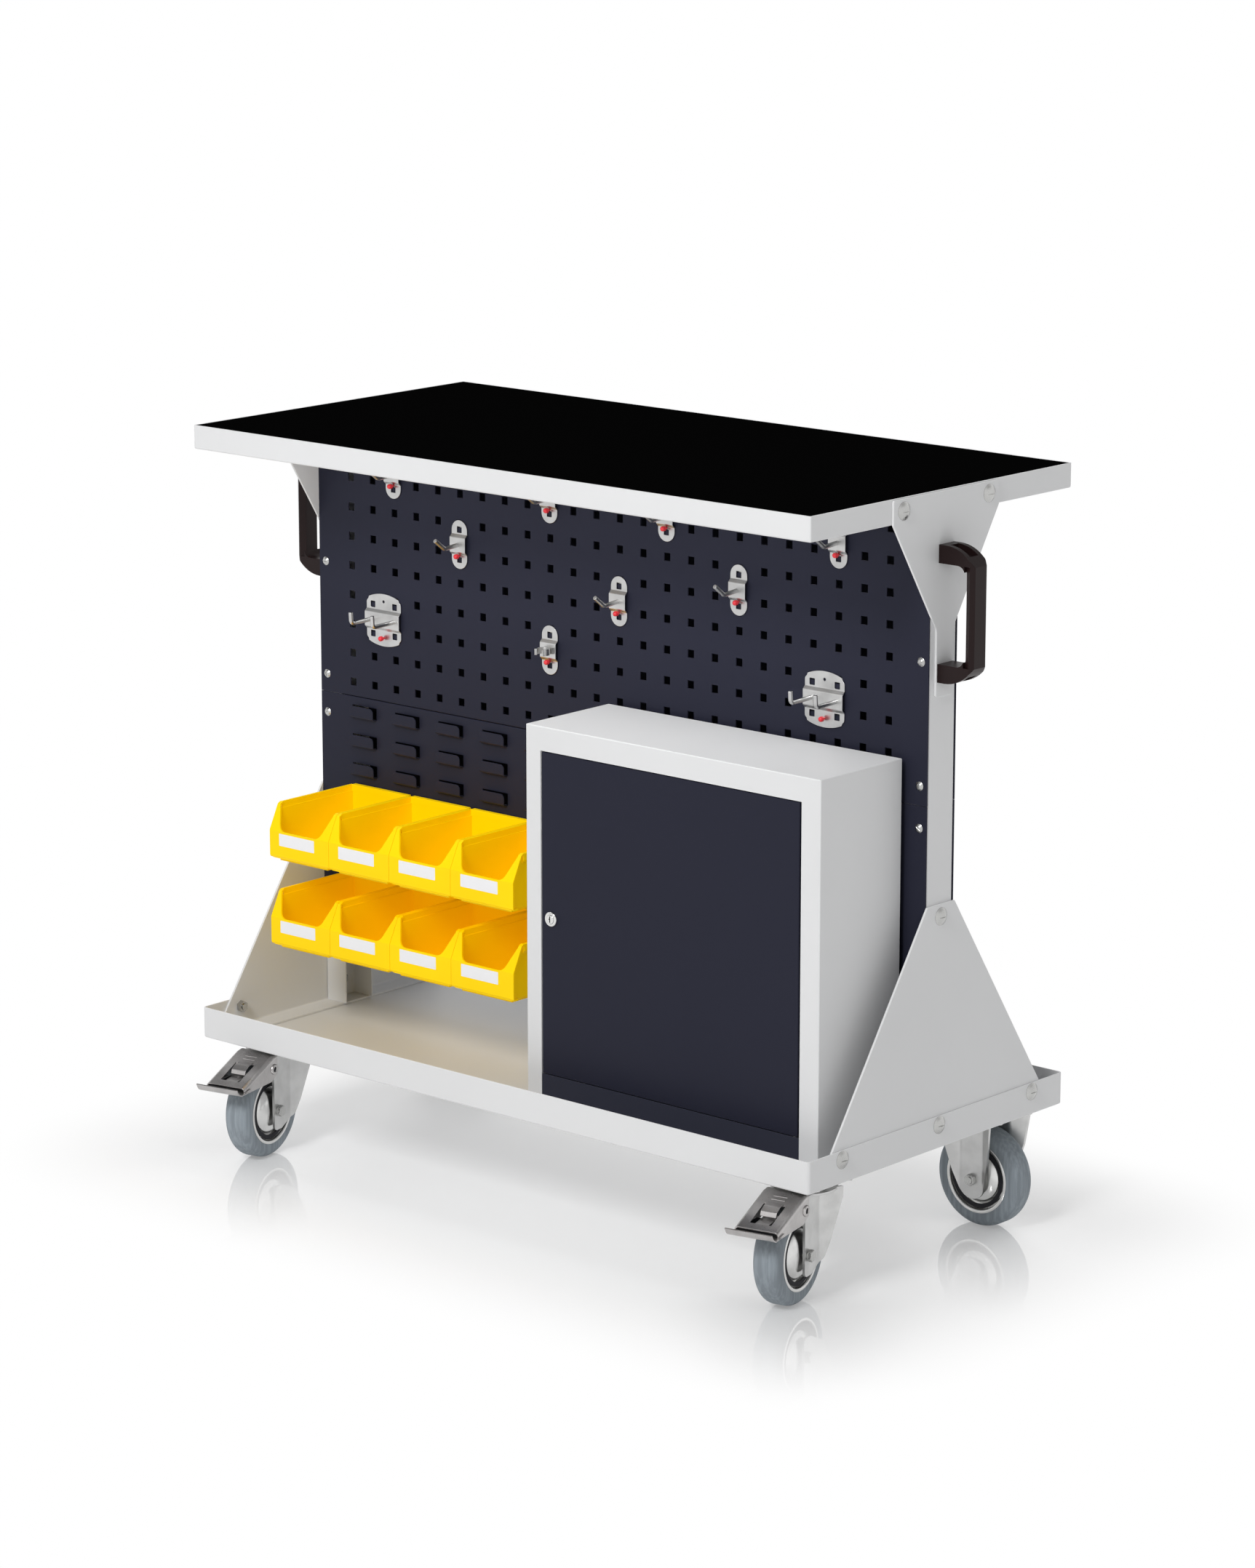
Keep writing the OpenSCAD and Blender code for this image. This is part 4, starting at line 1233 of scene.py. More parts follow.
@dataclass
class Fasteners(Assembly):
    """Bolts, nuts and screws, modelled once each and copied to their places.

    Attributes:
        head_r, head_high, slot: Radius, height and slot of a bolt's head.
        shank_r, shank: Radius and length of a bolt's shank.
        rim_spread, rim_high: Place of the bolts in the tray's rim.
        apex_drop: From a side plate's top to its single bolt.
        top_spread: From the middle to the bolts beside the worktop.
        nut_flat, nut_high: Width across the flats and height of a nut.
        screw_r, screw_high, screw_slot: Radius, height and slot of a screw's head.
        screw_x: From the middle to the panel screws.
        screw_turns: How far each slot is turned, in degrees.
        louvre_screws, hole_screws: Two heights over a panel's foot, one below its top.
        tray_floor: Thickness of the tray's floor.
    """

    head_r: float = 11.0
    head_high: float = 4.5
    slot: float = 2.0
    shank_r: float = 4.0
    shank: float = 13.0
    rim_spread: float = 182.5
    rim_high: float = 29.0
    apex_drop: float = 15.0
    top_spread: float = 80.0
    nut_flat: float = 13.0
    nut_high: float = 6.0
    screw_r: float = 5.5
    screw_high: float = 3.0
    screw_slot: float = 1.2
    screw_x: float = 484.0
    screw_turns: tuple[int, ...] = (20, 65, -35, 80, 10, -60)
    louvre_screws: Point = (24.75, 170.75, 26.75)
    hole_screws: Point = (23.25, 170.75, 25.75)
    tray_floor: float = 1.5

    def dome(self, name: str, radius: float, high: float, slot: float) -> Part:
        """A slotted domed head that points along +X, flat side at the origin.

        Args:
            name: Name of the part.
            radius: Radius of the head.
            high: Its height.
            slot: Width of its slot.

        Returns:
            The head.
        """
        big = (radius ** 2 + high ** 2) / (2 * high)
        top = math.degrees(math.asin(radius / big))
        curve = [(r, x + high - big) for x, r in arc((0, 0), big, 0, top, 7)][1:]
        rim = [(radius + 0.02, 0.35), (radius, 0.0)]
        profile = [(0, high), *curve[:-1], *rim, (0, 0)]
        part = Part.turned(name, profile, Axis.X, (0, 0, 0), 40)
        part.cut(Part.block("slot", (high - 1.4, -radius - 1, -slot / 2),
                            (high + 1, radius + 1, slot / 2)))
        return part.soften(0.25, 2, 40)

    def nut(self, name: str) -> Part:
        """A hexagonal nut along +X with chamfered corners, start at the origin.

        Args:
            name: Name of the part.

        Returns:
            The nut.
        """
        flat, high = self.nut_flat, self.nut_high
        part = Part.disc(name, (0, 0, 0), Axis.X, flat / math.sqrt(3), high, 6)
        near = [(0, 0), (flat * 0.5 - 0.2, 0), (flat * 0.56, high * 0.16),
                (flat * 0.62, high * 0.3)]
        far = [(r, high - x) for r, x in reversed(near)]
        part.keep(Part.turned("cone", near + far, Axis.X, (0, 0, 0), 36))
        return part.soften(0.2, 2, 35)

    def build(self) -> None:
        """See Assembly."""
        tray, post = Span.of("base_tray"), Span.of("post_right")
        plate, top = Span.of("side_plate_right"), Span.of("worktop_frame")
        master = self.dome("cup_head", self.head_r, self.head_high, self.slot)
        spots = [(tray.x1, dy, tray.z0 + self.rim_high)
                 for dy in (-self.rim_spread, 0, self.rim_spread)]
        spots.append((plate.x1, 0, plate.z1 - self.apex_drop))
        spots += [(plate.x1, dy, top.cz) for dy in (-self.top_spread, self.top_spread)]
        heads: list[Part] = []
        for x, dy, z in spots:
            for side in Side:
                place = (side.value * x, post.cy + dy, z)
                heads.append(master.twin("head").place(place, side.turn))
                heads.append(Part.disc("shank", place, Axis.X, self.shank_r,
                                       -side.value * self.shank, 20))
        bolts = heads[0].join(*heads[1:])
        bolts.obj.name = "cup_bolts"
        self.report(bolts.ready(Coat.STEEL, "frame", "frame_bolts"))
        master.discard()
        self.screws(post.cy)
        self.report(self.dress("frame_nuts", Coat.STEEL, 0.3))
        self.report(self.dress("handle_screws", Coat.STEEL, 0.2))
        self.report(self.studs())

    def studs(self) -> Part:
        """Castor studs that are welded flush below the tray's floor.

        Returns:
            The finished studs.
        """
        tray = Span.of("base_tray")
        part = Part.of_node("castor_bolts")
        part.cut(Part.block("floor", (tray.x0, tray.y0, tray.z0 + self.tray_floor),
                            (tray.x1, tray.y1, tray.z1)))
        return part.soften(0.3, 2, 40).ready(Coat.STEEL, "frame", "castor_bolts")

    def screws(self, centre: float) -> None:
        """Bright slotted screws down both edges of the panels.

        Args:
            centre: The trolley's middle plane along Y.
        """
        panel, lower = Span.of("front_hole_panel"), Span.of("front_louvre_panel")
        rows = ((lower, self.louvre_screws), (panel, self.hole_screws))
        heights = [z for s, (low, middle, top) in rows
                   for z in (s.z0 + low, s.z0 + middle, s.z1 - top)]
        master = self.dome("screw_head", self.screw_r, self.screw_high, self.screw_slot)
        parts: list[Part] = []
        for side in Side:
            for z, angle in zip(heights, self.screw_turns):
                for front in (-1, 1):
                    head = master.twin("head").place(turn=(angle * side.value, 0, 0))
                    y = centre + front * (centre - panel.y0)
                    parts.append(head.place((side.value * self.screw_x, y, z),
                                            (0, 0, 90 * front)))
        part = parts[0].join(*parts[1:])
        part.obj.name = "panel_screw_heads"
        self.report(part.ready(Coat.STEEL, "frame", "panel_screws"))
        master.discard()


@dataclass
class FrameWork(Assembly):
    """Base tray, side plates, posts and gussets.

    Attributes:
        sheet: Thickness of the tray and the posts.
        plate: Thickness of the side plates.
        corner: Radius of the tray's corners.
        bend: Radius of the tray's bend.
        apex: Half width of a side plate at its top.
        strip: Half width of a gusset beside the post.
        taper: Height where a gusset starts to widen.
    """

    sheet: float = 2.0
    plate: float = 3.0
    corner: float = 5.0
    bend: float = 2.4
    apex: float = 26.0
    strip: float = 16.0
    taper: float = 779.0

    def tray(self) -> Part:
        """The base tray with its turned-up rim.

        Returns:
            The finished tray.
        """
        part = self.pan("base_tray_shell", Span.of("base_tray"), self.sheet, self.corner,
                        self.bend)
        return part.soften(0.7, 3).ready(Coat.FRAME, "frame", "base_tray")

    def side_plate(self, word: str) -> Part:
        """The tapered right side plate with its foot turned in.

        Args:
            word: End of the piece's name.

        Returns:
            The plate.
        """
        s = Span.of("side_plate_right")
        half = self.plate / 2
        line = filleted([(s.x0, s.z0 + half), (s.x1 - half, s.z0 + half),
                         (s.x1 - half, s.z1)], 3.5, 5, closed=False)
        part = Part.strip(f"side_plate_sheet_{word}", line, Axis.Y, s.y0, s.y1, self.plate)
        rise, run = s.z1 - s.z0, (s.y1 - s.y0) / 2 - self.apex
        for way in (-1, 1):
            part.all_of(Pick.FACES)
            part.act(bpy.ops.mesh.bisect,
                     plane_co=Vector((0, s.cy + way * self.apex, s.z1)) * MM,
                     plane_no=Vector((0, way * rise, run)).normalized(),
                     use_fill=True, clear_outer=True)
        return part.soften(0.7, 3)

    def post(self, word: str) -> Part:
        """The right channel post, open towards the middle.

        Args:
            word: End of the piece's name.

        Returns:
            The post.
        """
        s = Span.of("post_right")
        half = self.sheet / 2
        line = filleted([(s.x0, s.y0 + half), (s.x1 - half, s.y0 + half),
                         (s.x1 - half, s.y1 - half), (s.x0, s.y1 - half)], 2.5, 4, False)
        part = Part.strip(f"post_channel_{word}", line, Axis.Z, s.z0, s.z1, self.sheet)
        return part.soften(0.5)

    def gusset(self, word: str) -> Part:
        """The plate that widens from the right post to the worktop.

        Args:
            word: End of the piece's name.

        Returns:
            The gusset.
        """
        s = Span.of("gusset_right")
        top, left, right = Span.of("worktop_frame").z0, s.cy - self.strip, s.cy + self.strip
        outline = filleted([(s.y0, s.z1), (s.y0, top), (left, self.taper), (left, s.z0),
                            (right, s.z0), (right, self.taper), (s.y1, top), (s.y1, s.z1)],
                           [2, 4, 12, 3, 3, 12, 4, 2])
        part = Part.prism(f"gusset_plate_{word}", outline, Axis.X, s.x0, s.x1)
        return part.soften(0.7, 3)

    def build(self) -> None:
        """See Assembly."""
        self.report(self.tray())
        makers = {"side_plate": self.side_plate, "post": self.post, "gusset": self.gusset}
        for side in Side:
            for node, maker in makers.items():
                part = maker(side.word)
                if side is Side.LEFT:
                    part.place(size=(-1, 1, 1))
                self.report(part.ready(Coat.FRAME, "frame", f"{node}_{side.word}"))


@dataclass
class Worktop(Assembly):
    """Steel tray with a chipboard core and a rubber mat.

    Attributes:
        sheet: Thickness of the tray.
        bend: Radius of its corners and of its bend.
    """

    sheet: float = 2.0
    bend: float = 2.2

    def shell(self) -> Part:
        """The sheet-steel tray, open above.

        Returns:
            The finished tray.
        """
        part = self.pan("worktop_shell", Span.of("worktop_frame"), self.sheet, self.bend,
                        self.bend)
        return part.soften(0.55, 3).ready(Coat.FRAME, "frame", "worktop_frame")

    def mat(self) -> Part:
        """The rubber mat, flush with the rim.

        Returns:
            The finished mat.
        """
        s = Span.of("worktop_mat")
        part = Part.block("rubber_mat_sheet", (s.x0, s.y0, s.z0), (s.x1, s.y1, s.z1))
        return part.soften(0.5, 3).ready(Coat.MAT, "frame", "worktop_mat")

    def build(self) -> None:
        """See Assembly."""
        self.report(self.shell())
        self.report(self.dress("worktop_board", Coat.CORE, 0.5))
        self.report(self.mat())


@dataclass
class Panels(Assembly):
    """Perforated tool panels above louvred panels, on both sides.

    Attributes:
        pitch: From hole to hole; louvres stand two apart.
        columns: Holes in a row.
        rows: Rows of holes, and of louvres.
        hole: Width of a hole.
        sheet: Thickness of the sheet.
        louvre: Width and height of a louvre's opening.
        reach: How far a tongue stands out.
        slit: Gap beside a tongue.
        tip: Radius of a tongue's upper corners.
        fold: Depth of the folded edges.
        bend: Radius of their bend.
    """

    pitch: float = 38.0
    columns: int = 24
    rows: int = 9
    hole: float = 10.0
    sheet: float = 1.5
    louvre: Flat = (43.0, 16.0)
    reach: float = 7.0
    slit: float = 0.7
    tip: float = 6.0
    fold: float = 12.0
    bend: float = 1.6

    def finish_sheet(self, part: Part, s: Span) -> Part:
        """Adds margins and folded edges, then thickens the sheet.

        Args:
            part: The merged cells, in the plane of the outer face.
            s: Box of the CAD panel.

        Returns:
            The sheet.
        """
        edge = self.pitch * self.columns / 2
        for way in (-1, 1):
            part.pick(Pick.EDGES, lambda place, run, w=way: w * place.x > edge - 0.1
                      and abs(run.z) > 0.9)
            part.extrude(Vector((way * (s.x1 - edge), 0, 0)))
        middle = (s.z0 + s.z1) / 2
        for way in (-1, 1):
            rim = middle + way * self.pitch * self.rows / 2
            part.pick(Pick.VERTS, lambda place, run, z=rim: abs(place.z - z) < 0.1)
            part.move((0, 0, -way * (abs(rim - middle) - (s.z1 - s.z0) / 2)))
        face = s.y1 - self.fold - self.sheet
        for z in (s.z0, s.z1):
            part.pick(Pick.EDGES, lambda place, run, h=z: abs(place.z - h) < 0.1
                      and abs(run.x) > 0.9 and abs(place.x) < edge)
            part.extrude(Vector((0, s.y1 - face, 0)))
        part.outwards()
        part.pick(Pick.EDGES, lambda place, run: abs(place.y - face) < 0.05
                  and min(abs(place.z - s.z0), abs(place.z - s.z1)) < 0.1
                  and abs(place.x) < edge and abs(run.x) > 0.9)
        return part.bevel(self.bend, 3)

    def holes(self) -> Part:
        """The sheet with square holes.

        Returns:
            The sheet.
        """
        s = Span.of("front_hole_panel")
        half = self.pitch / 2
        face = s.y0
        x, z = -self.pitch * (self.columns - 1) / 2, s.cz - self.pitch * (self.rows - 1) / 2
        cell = box_outline(x - half, z - half, x + half, z + half)
        part = Part.trace("hole_sheet", [Axis.Y.lift(p, face) for p in cell], fill=True)
        part.all_of(Pick.FACES).inset(half - self.hole / 2)
        part.delete(Pick.FACES, lambda place, way: abs(place.x - x) < 1
                    and abs(place.z - z) < 1)
        part.repeat(self.columns, (self.pitch, 0, 0), True)
        part.repeat(self.rows, (0, 0, self.pitch), True)
        return self.thick(self.finish_sheet(part, s))

    def thick(self, part: Part) -> Part:
        """Thickens a sheet whose outer face looks to the front.

        Args:
            part: The sheet.

        Returns:
            The thickened sheet, with its edges eased.
        """
        part.all_of(Pick.FACES)
        flat = [f for f in part.obj.data.polygons if abs(f.normal.y) > 0.9]
        if flat and flat[0].normal.y > 0:
            part.act(bpy.ops.mesh.flip_normals)
        part.modify("SOLIDIFY", thickness=self.sheet * MM, offset=-1, use_even_offset=True)
        return part.outwards().soften(0.22, 1, 40)

    def louvres(self) -> Part:
        """The sheet with its punched louvres.

        Returns:
            The sheet.
        """
        s, above = Span.of("front_louvre_panel"), Span.of("front_hole_panel")
        face = above.y0
        wide, high = self.louvre
        x = -self.pitch * (self.columns - 2) / 2
        z = s.cz - self.pitch * (self.rows - 1) / 2
        cell = box_outline(x - self.pitch, z - self.pitch / 2, x + self.pitch,
                           z + self.pitch / 2)
        part = Part.trace("louvre_sheet", [Axis.Y.lift(p, face) for p in cell], fill=True)
        for way in (-1, 1):
            part.bisect((x + way * wide / 2, 0, 0), (1, 0, 0))
            part.bisect((0, 0, z + way * high / 2), (0, 0, 1))
        part.delete(Pick.FACES, lambda place, way: abs(place.x - x) < 1
                    and abs(place.z - z) < 1)
        part.repeat(self.columns // 2, (2 * self.pitch, 0, 0), True)
        part.repeat(self.rows, (0, 0, self.pitch), True)
        sheet = Span(s.x0, face, s.z0, s.x1, above.y1, s.z1)
        part = self.thick(self.finish_sheet(part, sheet))
        tongue = self.tongue((x, face, z))
        tongue.repeat(self.columns // 2, (2 * self.pitch, 0, 0))
        tongue.repeat(self.rows, (0, 0, self.pitch))
        return part.join(tongue)

    def tongue(self, spot: Point) -> Part:
        """One louvre: a tongue pushed out of the sheet and joined to it at its foot.

        Args:
            spot: Middle of its opening on the outer face.

        Returns:
            The tongue.
        """
        x, face, z = spot
        wide, high = self.louvre
        half, mid = high / 2, self.sheet / 2
        out = face - self.reach + mid
        line = filleted([(face + mid, z - half - 2.0), (face + mid - 0.2, z - half + 0.4),
                         (out, z - half + 1.6), (out, z + half - 0.2)], [0, 1.0, 2.0, 0], 3,
                        closed=False)
        part = Part.trace("tongue", [Axis.X.lift(p, x - wide / 2 + self.slit) for p in line])
        part.all_of(Pick.EDGES).extrude(Vector((wide - 2 * self.slit, 0, 0)))
        part.pick(Pick.VERTS, lambda place, way: place.z > z + half - 0.4)
        part.bevel(self.tip, 4, Pick.VERTS)
        part.modify("SOLIDIFY", thickness=self.sheet * MM, offset=0, use_even_offset=True)
        return part.outwards().soften(0.3, 1, 40)

    def build(self) -> None:
        """See Assembly."""
        centre = Span.of("post_right").cy
        for maker, node in ((self.holes, "hole_panel"), (self.louvres, "louvre_panel")):
            front = maker()
            rear = front.twin(f"rear_{front.obj.name}")
            front.obj.name = f"front_{front.obj.name}"
            rear.place((0, 2 * centre, 0), (0, 0, 180))
            self.report(front.ready(Coat.PANEL, "frame", f"front_{node}"))
            self.report(rear.ready(Coat.PANEL, "frame", f"rear_{node}"))


@dataclass
class Cabinet(Assembly):
    """Sheet-steel cabinet with a hinged door, a shelf and a lock.

    Attributes:
        sheet: Thickness of the sheet.
        bend: Radius of the outer bends.
        stile_lock: Width of the front frame on the lock's side.
        stile_hinge: Its width on the hinge's side.
        rail: Its height above the door.
        jamb: Depth of its folded edges.
        floor_back: How far the floor stands behind the front.
        barrel: Length of a hinge barrel.
        bore: Radius of the hole for the lock.
    """

    sheet: float = 1.5
    bend: float = 1.4
    stile_lock: float = 23.5
    stile_hinge: float = 28.5
    rail: float = 30.0
    jamb: float = 12.0
    floor_back: float = 8.0
    barrel: float = 12.0
    bore: float = 8.1

    def body(self) -> Part:
        """The carcass with its front frame and floor.

        Returns:
            The finished carcass.
        """
        s = Span.of("cabinet_body")
        t = self.sheet
        x0, x1, top = s.x0 + self.stile_lock, s.x1 - self.stile_hinge, s.z1 - self.rail
        floor = Span.of("kick_plate").z1 + 0.3
        part = Part.block("cabinet_carcass", (s.x0, s.y0, s.z0), (s.x1, s.y1, s.z1))
        part.cut(Part.block("room", (s.x0 + t, s.y0 + t, s.z0 - 1),
                            (s.x1 - t, s.y1 - t, s.z1 - t)),
                 Part.block("mouth", (x0, s.y0 - 1, s.z0 - 1), (x1, s.y0 + t + 1, top)))

        def bent(place: Vector, way: Vector) -> bool:
            """Tells the bends of the sheet from its cut edges.

            Args:
                place: Middle of an edge of the carcass.
                way: The edge's direction.

            Returns:
                Whether the edge is a bend.
            """
            ends = place.y < s.y0 + 0.1 or place.y > s.y1 - 0.1 or abs(way.y) > 0.9
            skin = (place.z > s.z1 - 0.1 or place.x < s.x0 + 0.1 or place.x > s.x1 - 0.1)
            return ends and skin and place.z >= s.z0 + 0.1

        part.pick(Pick.EDGES, bent)
        part.bevel(self.bend, 3).soften(0.35)
        floor_part = Part.block("floor", (s.x0 + t, s.y0 + self.floor_back, floor - t),
                                (s.x1 - t, s.y1 - t, floor)).soften(0.3, 1)
        jambs = [Part.strip("jamb", [(x, s.y0 + t), (x, s.y0 + self.jamb)], Axis.Z,
                            s.z0 + 1, top + t, t) for x in (x0 - t / 2, x1 + t / 2)]
        head = Part.strip("head", [(s.y0 + t, top + t / 2),
                                   (s.y0 + self.jamb + 4, top + t / 2)],
                          Axis.X, x0 - t, x1 + t, t)
        return part.join(floor_part, *jambs, head).ready(Coat.FRAME, "frame", "cabinet_body")

    def shelf(self) -> Part:
        """The shelf with its folded lips.

        Returns:
            The finished shelf.
        """
        s = Span.of("cabinet_shelf")
        h = self.sheet / 2
        line = filleted([(s.y0 + h, s.z0), (s.y0 + h, s.z1 - h), (s.y1 - h, s.z1 - h),
                         (s.y1 - h, s.z0)], 2, 4, False)
        part = Part.strip("folded_shelf", line, Axis.X, s.x0, s.x1, self.sheet)
        return part.soften(0.3).ready(Coat.FRAME, "frame", "cabinet_shelf")

    def kick(self) -> Part:
        """The folded plate below the door.

        Returns:
            The finished plate.
        """
        s = Span.of("kick_plate")
        h = self.sheet / 2
        line = filleted([(s.y0 + h, s.z1), (s.y0 + h, s.z0 + h), (s.y1, s.z0 + h)], 2, 4, False)
        part = Part.strip("kick_sheet", line, Axis.X, s.x0, s.x1, self.sheet)
        # Its lighter coat is painted light that offsets the shade below the door.
        return part.soften(0.3).ready(Coat.KICK, "frame", "kick_plate")

    def door(self) -> Part:
        """The door: a folded tray with hinge barrels and a hole for the lock.

        Returns:
            The finished door.
        """
        s, lock = Span.of("cabinet_door"), Span.of("lock_barrel")
        t = self.sheet
        part = Part.block("door_tray", (s.x0, s.y0, s.z0), (s.x1, s.y1, s.z1))
        part.pick(Pick.FACES, lambda place, way: way.y > 0.9)
        part.inset(t).extrude(Vector((0, s.y0 + t - s.y1, 0)))
        part.pick(Pick.EDGES, lambda place, way: place.y < s.y0 + 0.1
                  or (abs(way.y) > 0.9 and (abs(place.x - s.x0) < 0.1
                                            or abs(place.x - s.x1) < 0.1)))
        part.bevel(self.bend, 3)
        part.cut(Part.disc("bore", (lock.cx, s.y0 - 1, lock.cz), Axis.Y, self.bore, t + 2,
                           40))
        part.soften(0.3)
        high = self.barrel
        tube = [(3.1, 0), (4.6, 0), (5.0, 0.5), (5.0, high - 0.5), (4.6, high), (3.1, high),
                (3.1, 0)]
        for z in (s.z0, s.z1 - high):
            part.join(Part.turned("barrel", tube, Axis.Z, (s.x1 - 6, s.y0 + 6, z), 24))
        return part.ready(Coat.PANEL, "door", "cabinet_door")

    def lock(self) -> None:
        """The round lock with its keyed plug."""
        ring, door = Span.of("lock_barrel"), Span.of("cabinet_door")
        x, z, y = ring.cx, ring.cz, door.y0
        collar = Part.turned("lock_ring", [
            (5.58, -3.1), (5.9, -3.5), (8.2, -3.5), (9.0, -2.9), (9.2, -2.0), (9.2, 0.0),
            (8.0, 0.0), (8.0, 1.5), (10.0, 1.5), (10.0, 4.5), (8.0, 4.5), (8.0, 15.0),
            (5.58, 15.0), (5.58, -3.1)], Axis.Y, (x, y, z), 48)
        collar.cut(Part.block("notch", (x - 1.1, y - 4, z + 7.2), (x + 1.1, y - 2.6, z + 10)))
        self.report(collar.soften(0.15, 2, 45).ready(Coat.CHROME, "door", "lock_barrel"))
        plug = Part.turned("lock_plug_core", [
            (0, -4.2), (4.9, -4.2), (5.5, -3.7), (5.5, 17.0), (0, 17.0)],
            Axis.Y, (x, y, z), 40)
        plug.cut(Part.block("keyway", (x - 0.8, y - 5, z - 3.9), (x + 0.8, y + 6, z + 3.9)),
                 Part.block("ward", (x - 1.7, y - 5, z - 0.6), (x + 0.4, y + 6, z + 0.9)))
        plug.soften(0.15, 2, 45)
        s = Span.of("lock_plug")
        blade = filleted(box_outline(s.x0 + 0.5, s.z0, s.x0 + 10.5, z + 7), 4.5)
        cam = Part.prism("cam", blade, Axis.Y, s.y1 - 2, s.y1).soften(0.3)
        self.report(plug.join(cam).ready(Coat.CHROME, "lock", "lock_plug"))

    def build(self) -> None:
        """See Assembly."""
        for maker in (self.body, self.shelf, self.kick, self.door):
            self.report(maker())
        self.report(self.dress("cabinet_pins", Coat.STEEL, 0.2))
        self.lock()


@dataclass
class ToolHolders(Assembly):
    """Hooks, a spring clip and their red locking pins on the perforated panel.

    Attributes:
        pitch: From hole to hole.
        sheet: Thickness of a plate.
        band: How far its middle band stands out.
        wire: Radius of a hook.
        drop: How far a plate hangs below the middle of its holes.
        window: Half width of the windows over the holes.
        narrow: Half width and half height of the narrow plate.
        wide: Half width, half height and half height of the sides of the wide plate.
        ring: Inner radius of the clip's ring, plus half its sheet.
        singles: Column and row of each single hook.
        doubles: Column and row of each double hook.
        clips: Column and row of each clip.
    """

    pitch: float = 38.0
    sheet: float = 1.5
    band: float = 4.0
    wire: float = 2.75
    drop: float = 7.0
    window: float = 4.0
    narrow: Flat = (13.0, 31.0)
    wide: Point = (30.0, 34.0, 27.0)
    ring: float = 8.2
    singles: tuple[Flat, ...] = ((5, 5), (12, 4), (17, 5), (2, 7), (9, 7), (14, 7), (21, 7))
    doubles: tuple[Flat, ...] = ((1.5, 2), (20.5, 2))
    clips: tuple[Flat, ...] = ((9, 2),)

    def plate(self, name: str, outline: Sequence[Flat], columns: Sequence[float]) -> Part:
        """A hook plate with its raised band, windows and tabs, back face at Y nothing.

        Args:
            name: Name of the part.
            outline: Its outline in XZ.
            columns: Places of its window columns.

        Returns:
            The plate.
        """
        low = min(z for _, z in outline) - 1
        wide = max(x for x, _ in outline) + 1
        h = self.sheet / 2
        line = filleted([(-h, low), (-h, -13), (-h - self.band, -9), (-h - self.band, 9),
                         (-h, 13), (-h, -low)], 2.2, 4, False)
        part = Part.strip(name, line, Axis.X, -wide, wide, self.sheet)
        part.keep(Part.prism("form", outline, Axis.Y, -8, 3))
        w = self.window
        for x in columns:
            for z in (-self.pitch / 2, self.pitch / 2):
                hole = filleted(box_outline(x - w, z - w, x + w, z + w), 0.7, 2)
                part.cut(Part.prism("window", hole, Axis.Y, -8, 3))
        part.soften(0.35)
        for x in columns:
            for way in (-1, 1):
                part.join(self.tab(x, way * self.pitch / 2 + self.drop))
        return part

    @property
    def root(self) -> float:
        """Where a rod starts, inside the band of its plate."""
        return 1 - self.sheet - self.band

    def pill(self) -> list[Flat]:
        """Outline of the narrow plate, round at both ends."""
        half, tall = self.narrow
        return (arc((0, tall - half), half, 0, 180, 18)
                + arc((0, half - tall), half, 180, 360, 18))

    def tab(self, x: float, z: float) -> Part:
        """A tongue that reaches through a hole and turns down behind the panel.

        Args:
            x: Middle of the tongue.
            z: Middle of the hole.

        Returns:
            The tongue.
        """
        line = filleted([(-0.6, z - 2.5), (2.9, z - 2.5), (2.9, z - 8.5)], 0.9, 3, False)
        return Part.strip("tab", line, Axis.X, x - 3.5, x + 3.5, 1.6).soften(0.2, 1)

    def rod(self, path: Sequence[Flat], bend: float, x: float = 0.0) -> Part:
        """A bent round rod in the YZ plane with a rounded tip.

        Args:
            path: Corners of its centre line.
            bend: Radius of its bends.
            x: Its place along X.

        Returns:
            The rod.
        """
        line = filleted(path, bend, 6, False)
        rod = Part.wire("rod", [(x, y, z) for y, z in line], self.wire, 3)
        return rod.soften(0.5, 2, 50)

    def single(self) -> Part:
        """A plate with one slanting hook.

        Returns:
            The hook.
        """
        y = self.root
        part = self.plate("single_hook", self.pill(), (0.0,))
        return part.join(self.rod([(y, 0), (y - 24, -2), (y - 41, 11)], 7))

    def double(self) -> Part:
        """A wide plate with two upturned hooks.

        Returns:
            The hooks.
        """
        half, tall, side = self.wide
        rise = tall - side
        big = (half ** 2 + rise ** 2) / (2 * rise)
        swing = math.degrees(math.asin((half - 4) / big))
        top = arc((0, tall - big), big, 90 - swing, 90 + swing, 14)
        low = [(-a, -b) for a, b in top]
        corner = 5.0
        x, z = half - corner, side - corner - 1
        outline = [*arc((x, z), corner, 0, 62, 4), *top, *arc((-x, z), corner, 118, 180, 4),
                   *arc((-x, -z), corner, 180, 242, 4), *low,
                   *arc((x, -z), corner, 298, 360, 4)]
        part = self.plate("double_hook", outline, (-self.pitch / 2, self.pitch / 2))
        part.cut(Part.disc("eye", (0, -4, tall - 10), Axis.Y, 2, 8, 20))
        y = self.root
        for x in (-self.pitch / 2, self.pitch / 2):
            part.join(self.rod([(y, 0), (y - 36.5, -1), (y - 37.5, 14)], 5, x))
        return part

    def clip(self) -> Part:
        """A plate with a round spring clip, open to the front.

        Returns:
            The clip.
        """
        part = self.plate("spring_clip_plate", self.pill(), (0.0,))
        ring = arc((0, 0.2 - self.sheet - self.band - self.ring), self.ring, -48, 228, 26)
        (x0, y0), (x1, y1) = ring[0], ring[-1]
        line = [(x0 + 1.6, y0 - 2.0), *ring, (x1 - 1.6, y1 - 2.0)]
        return part.join(Part.strip("spring", line, Axis.Z, -4, 4, 1.3).soften(0.25, 1))

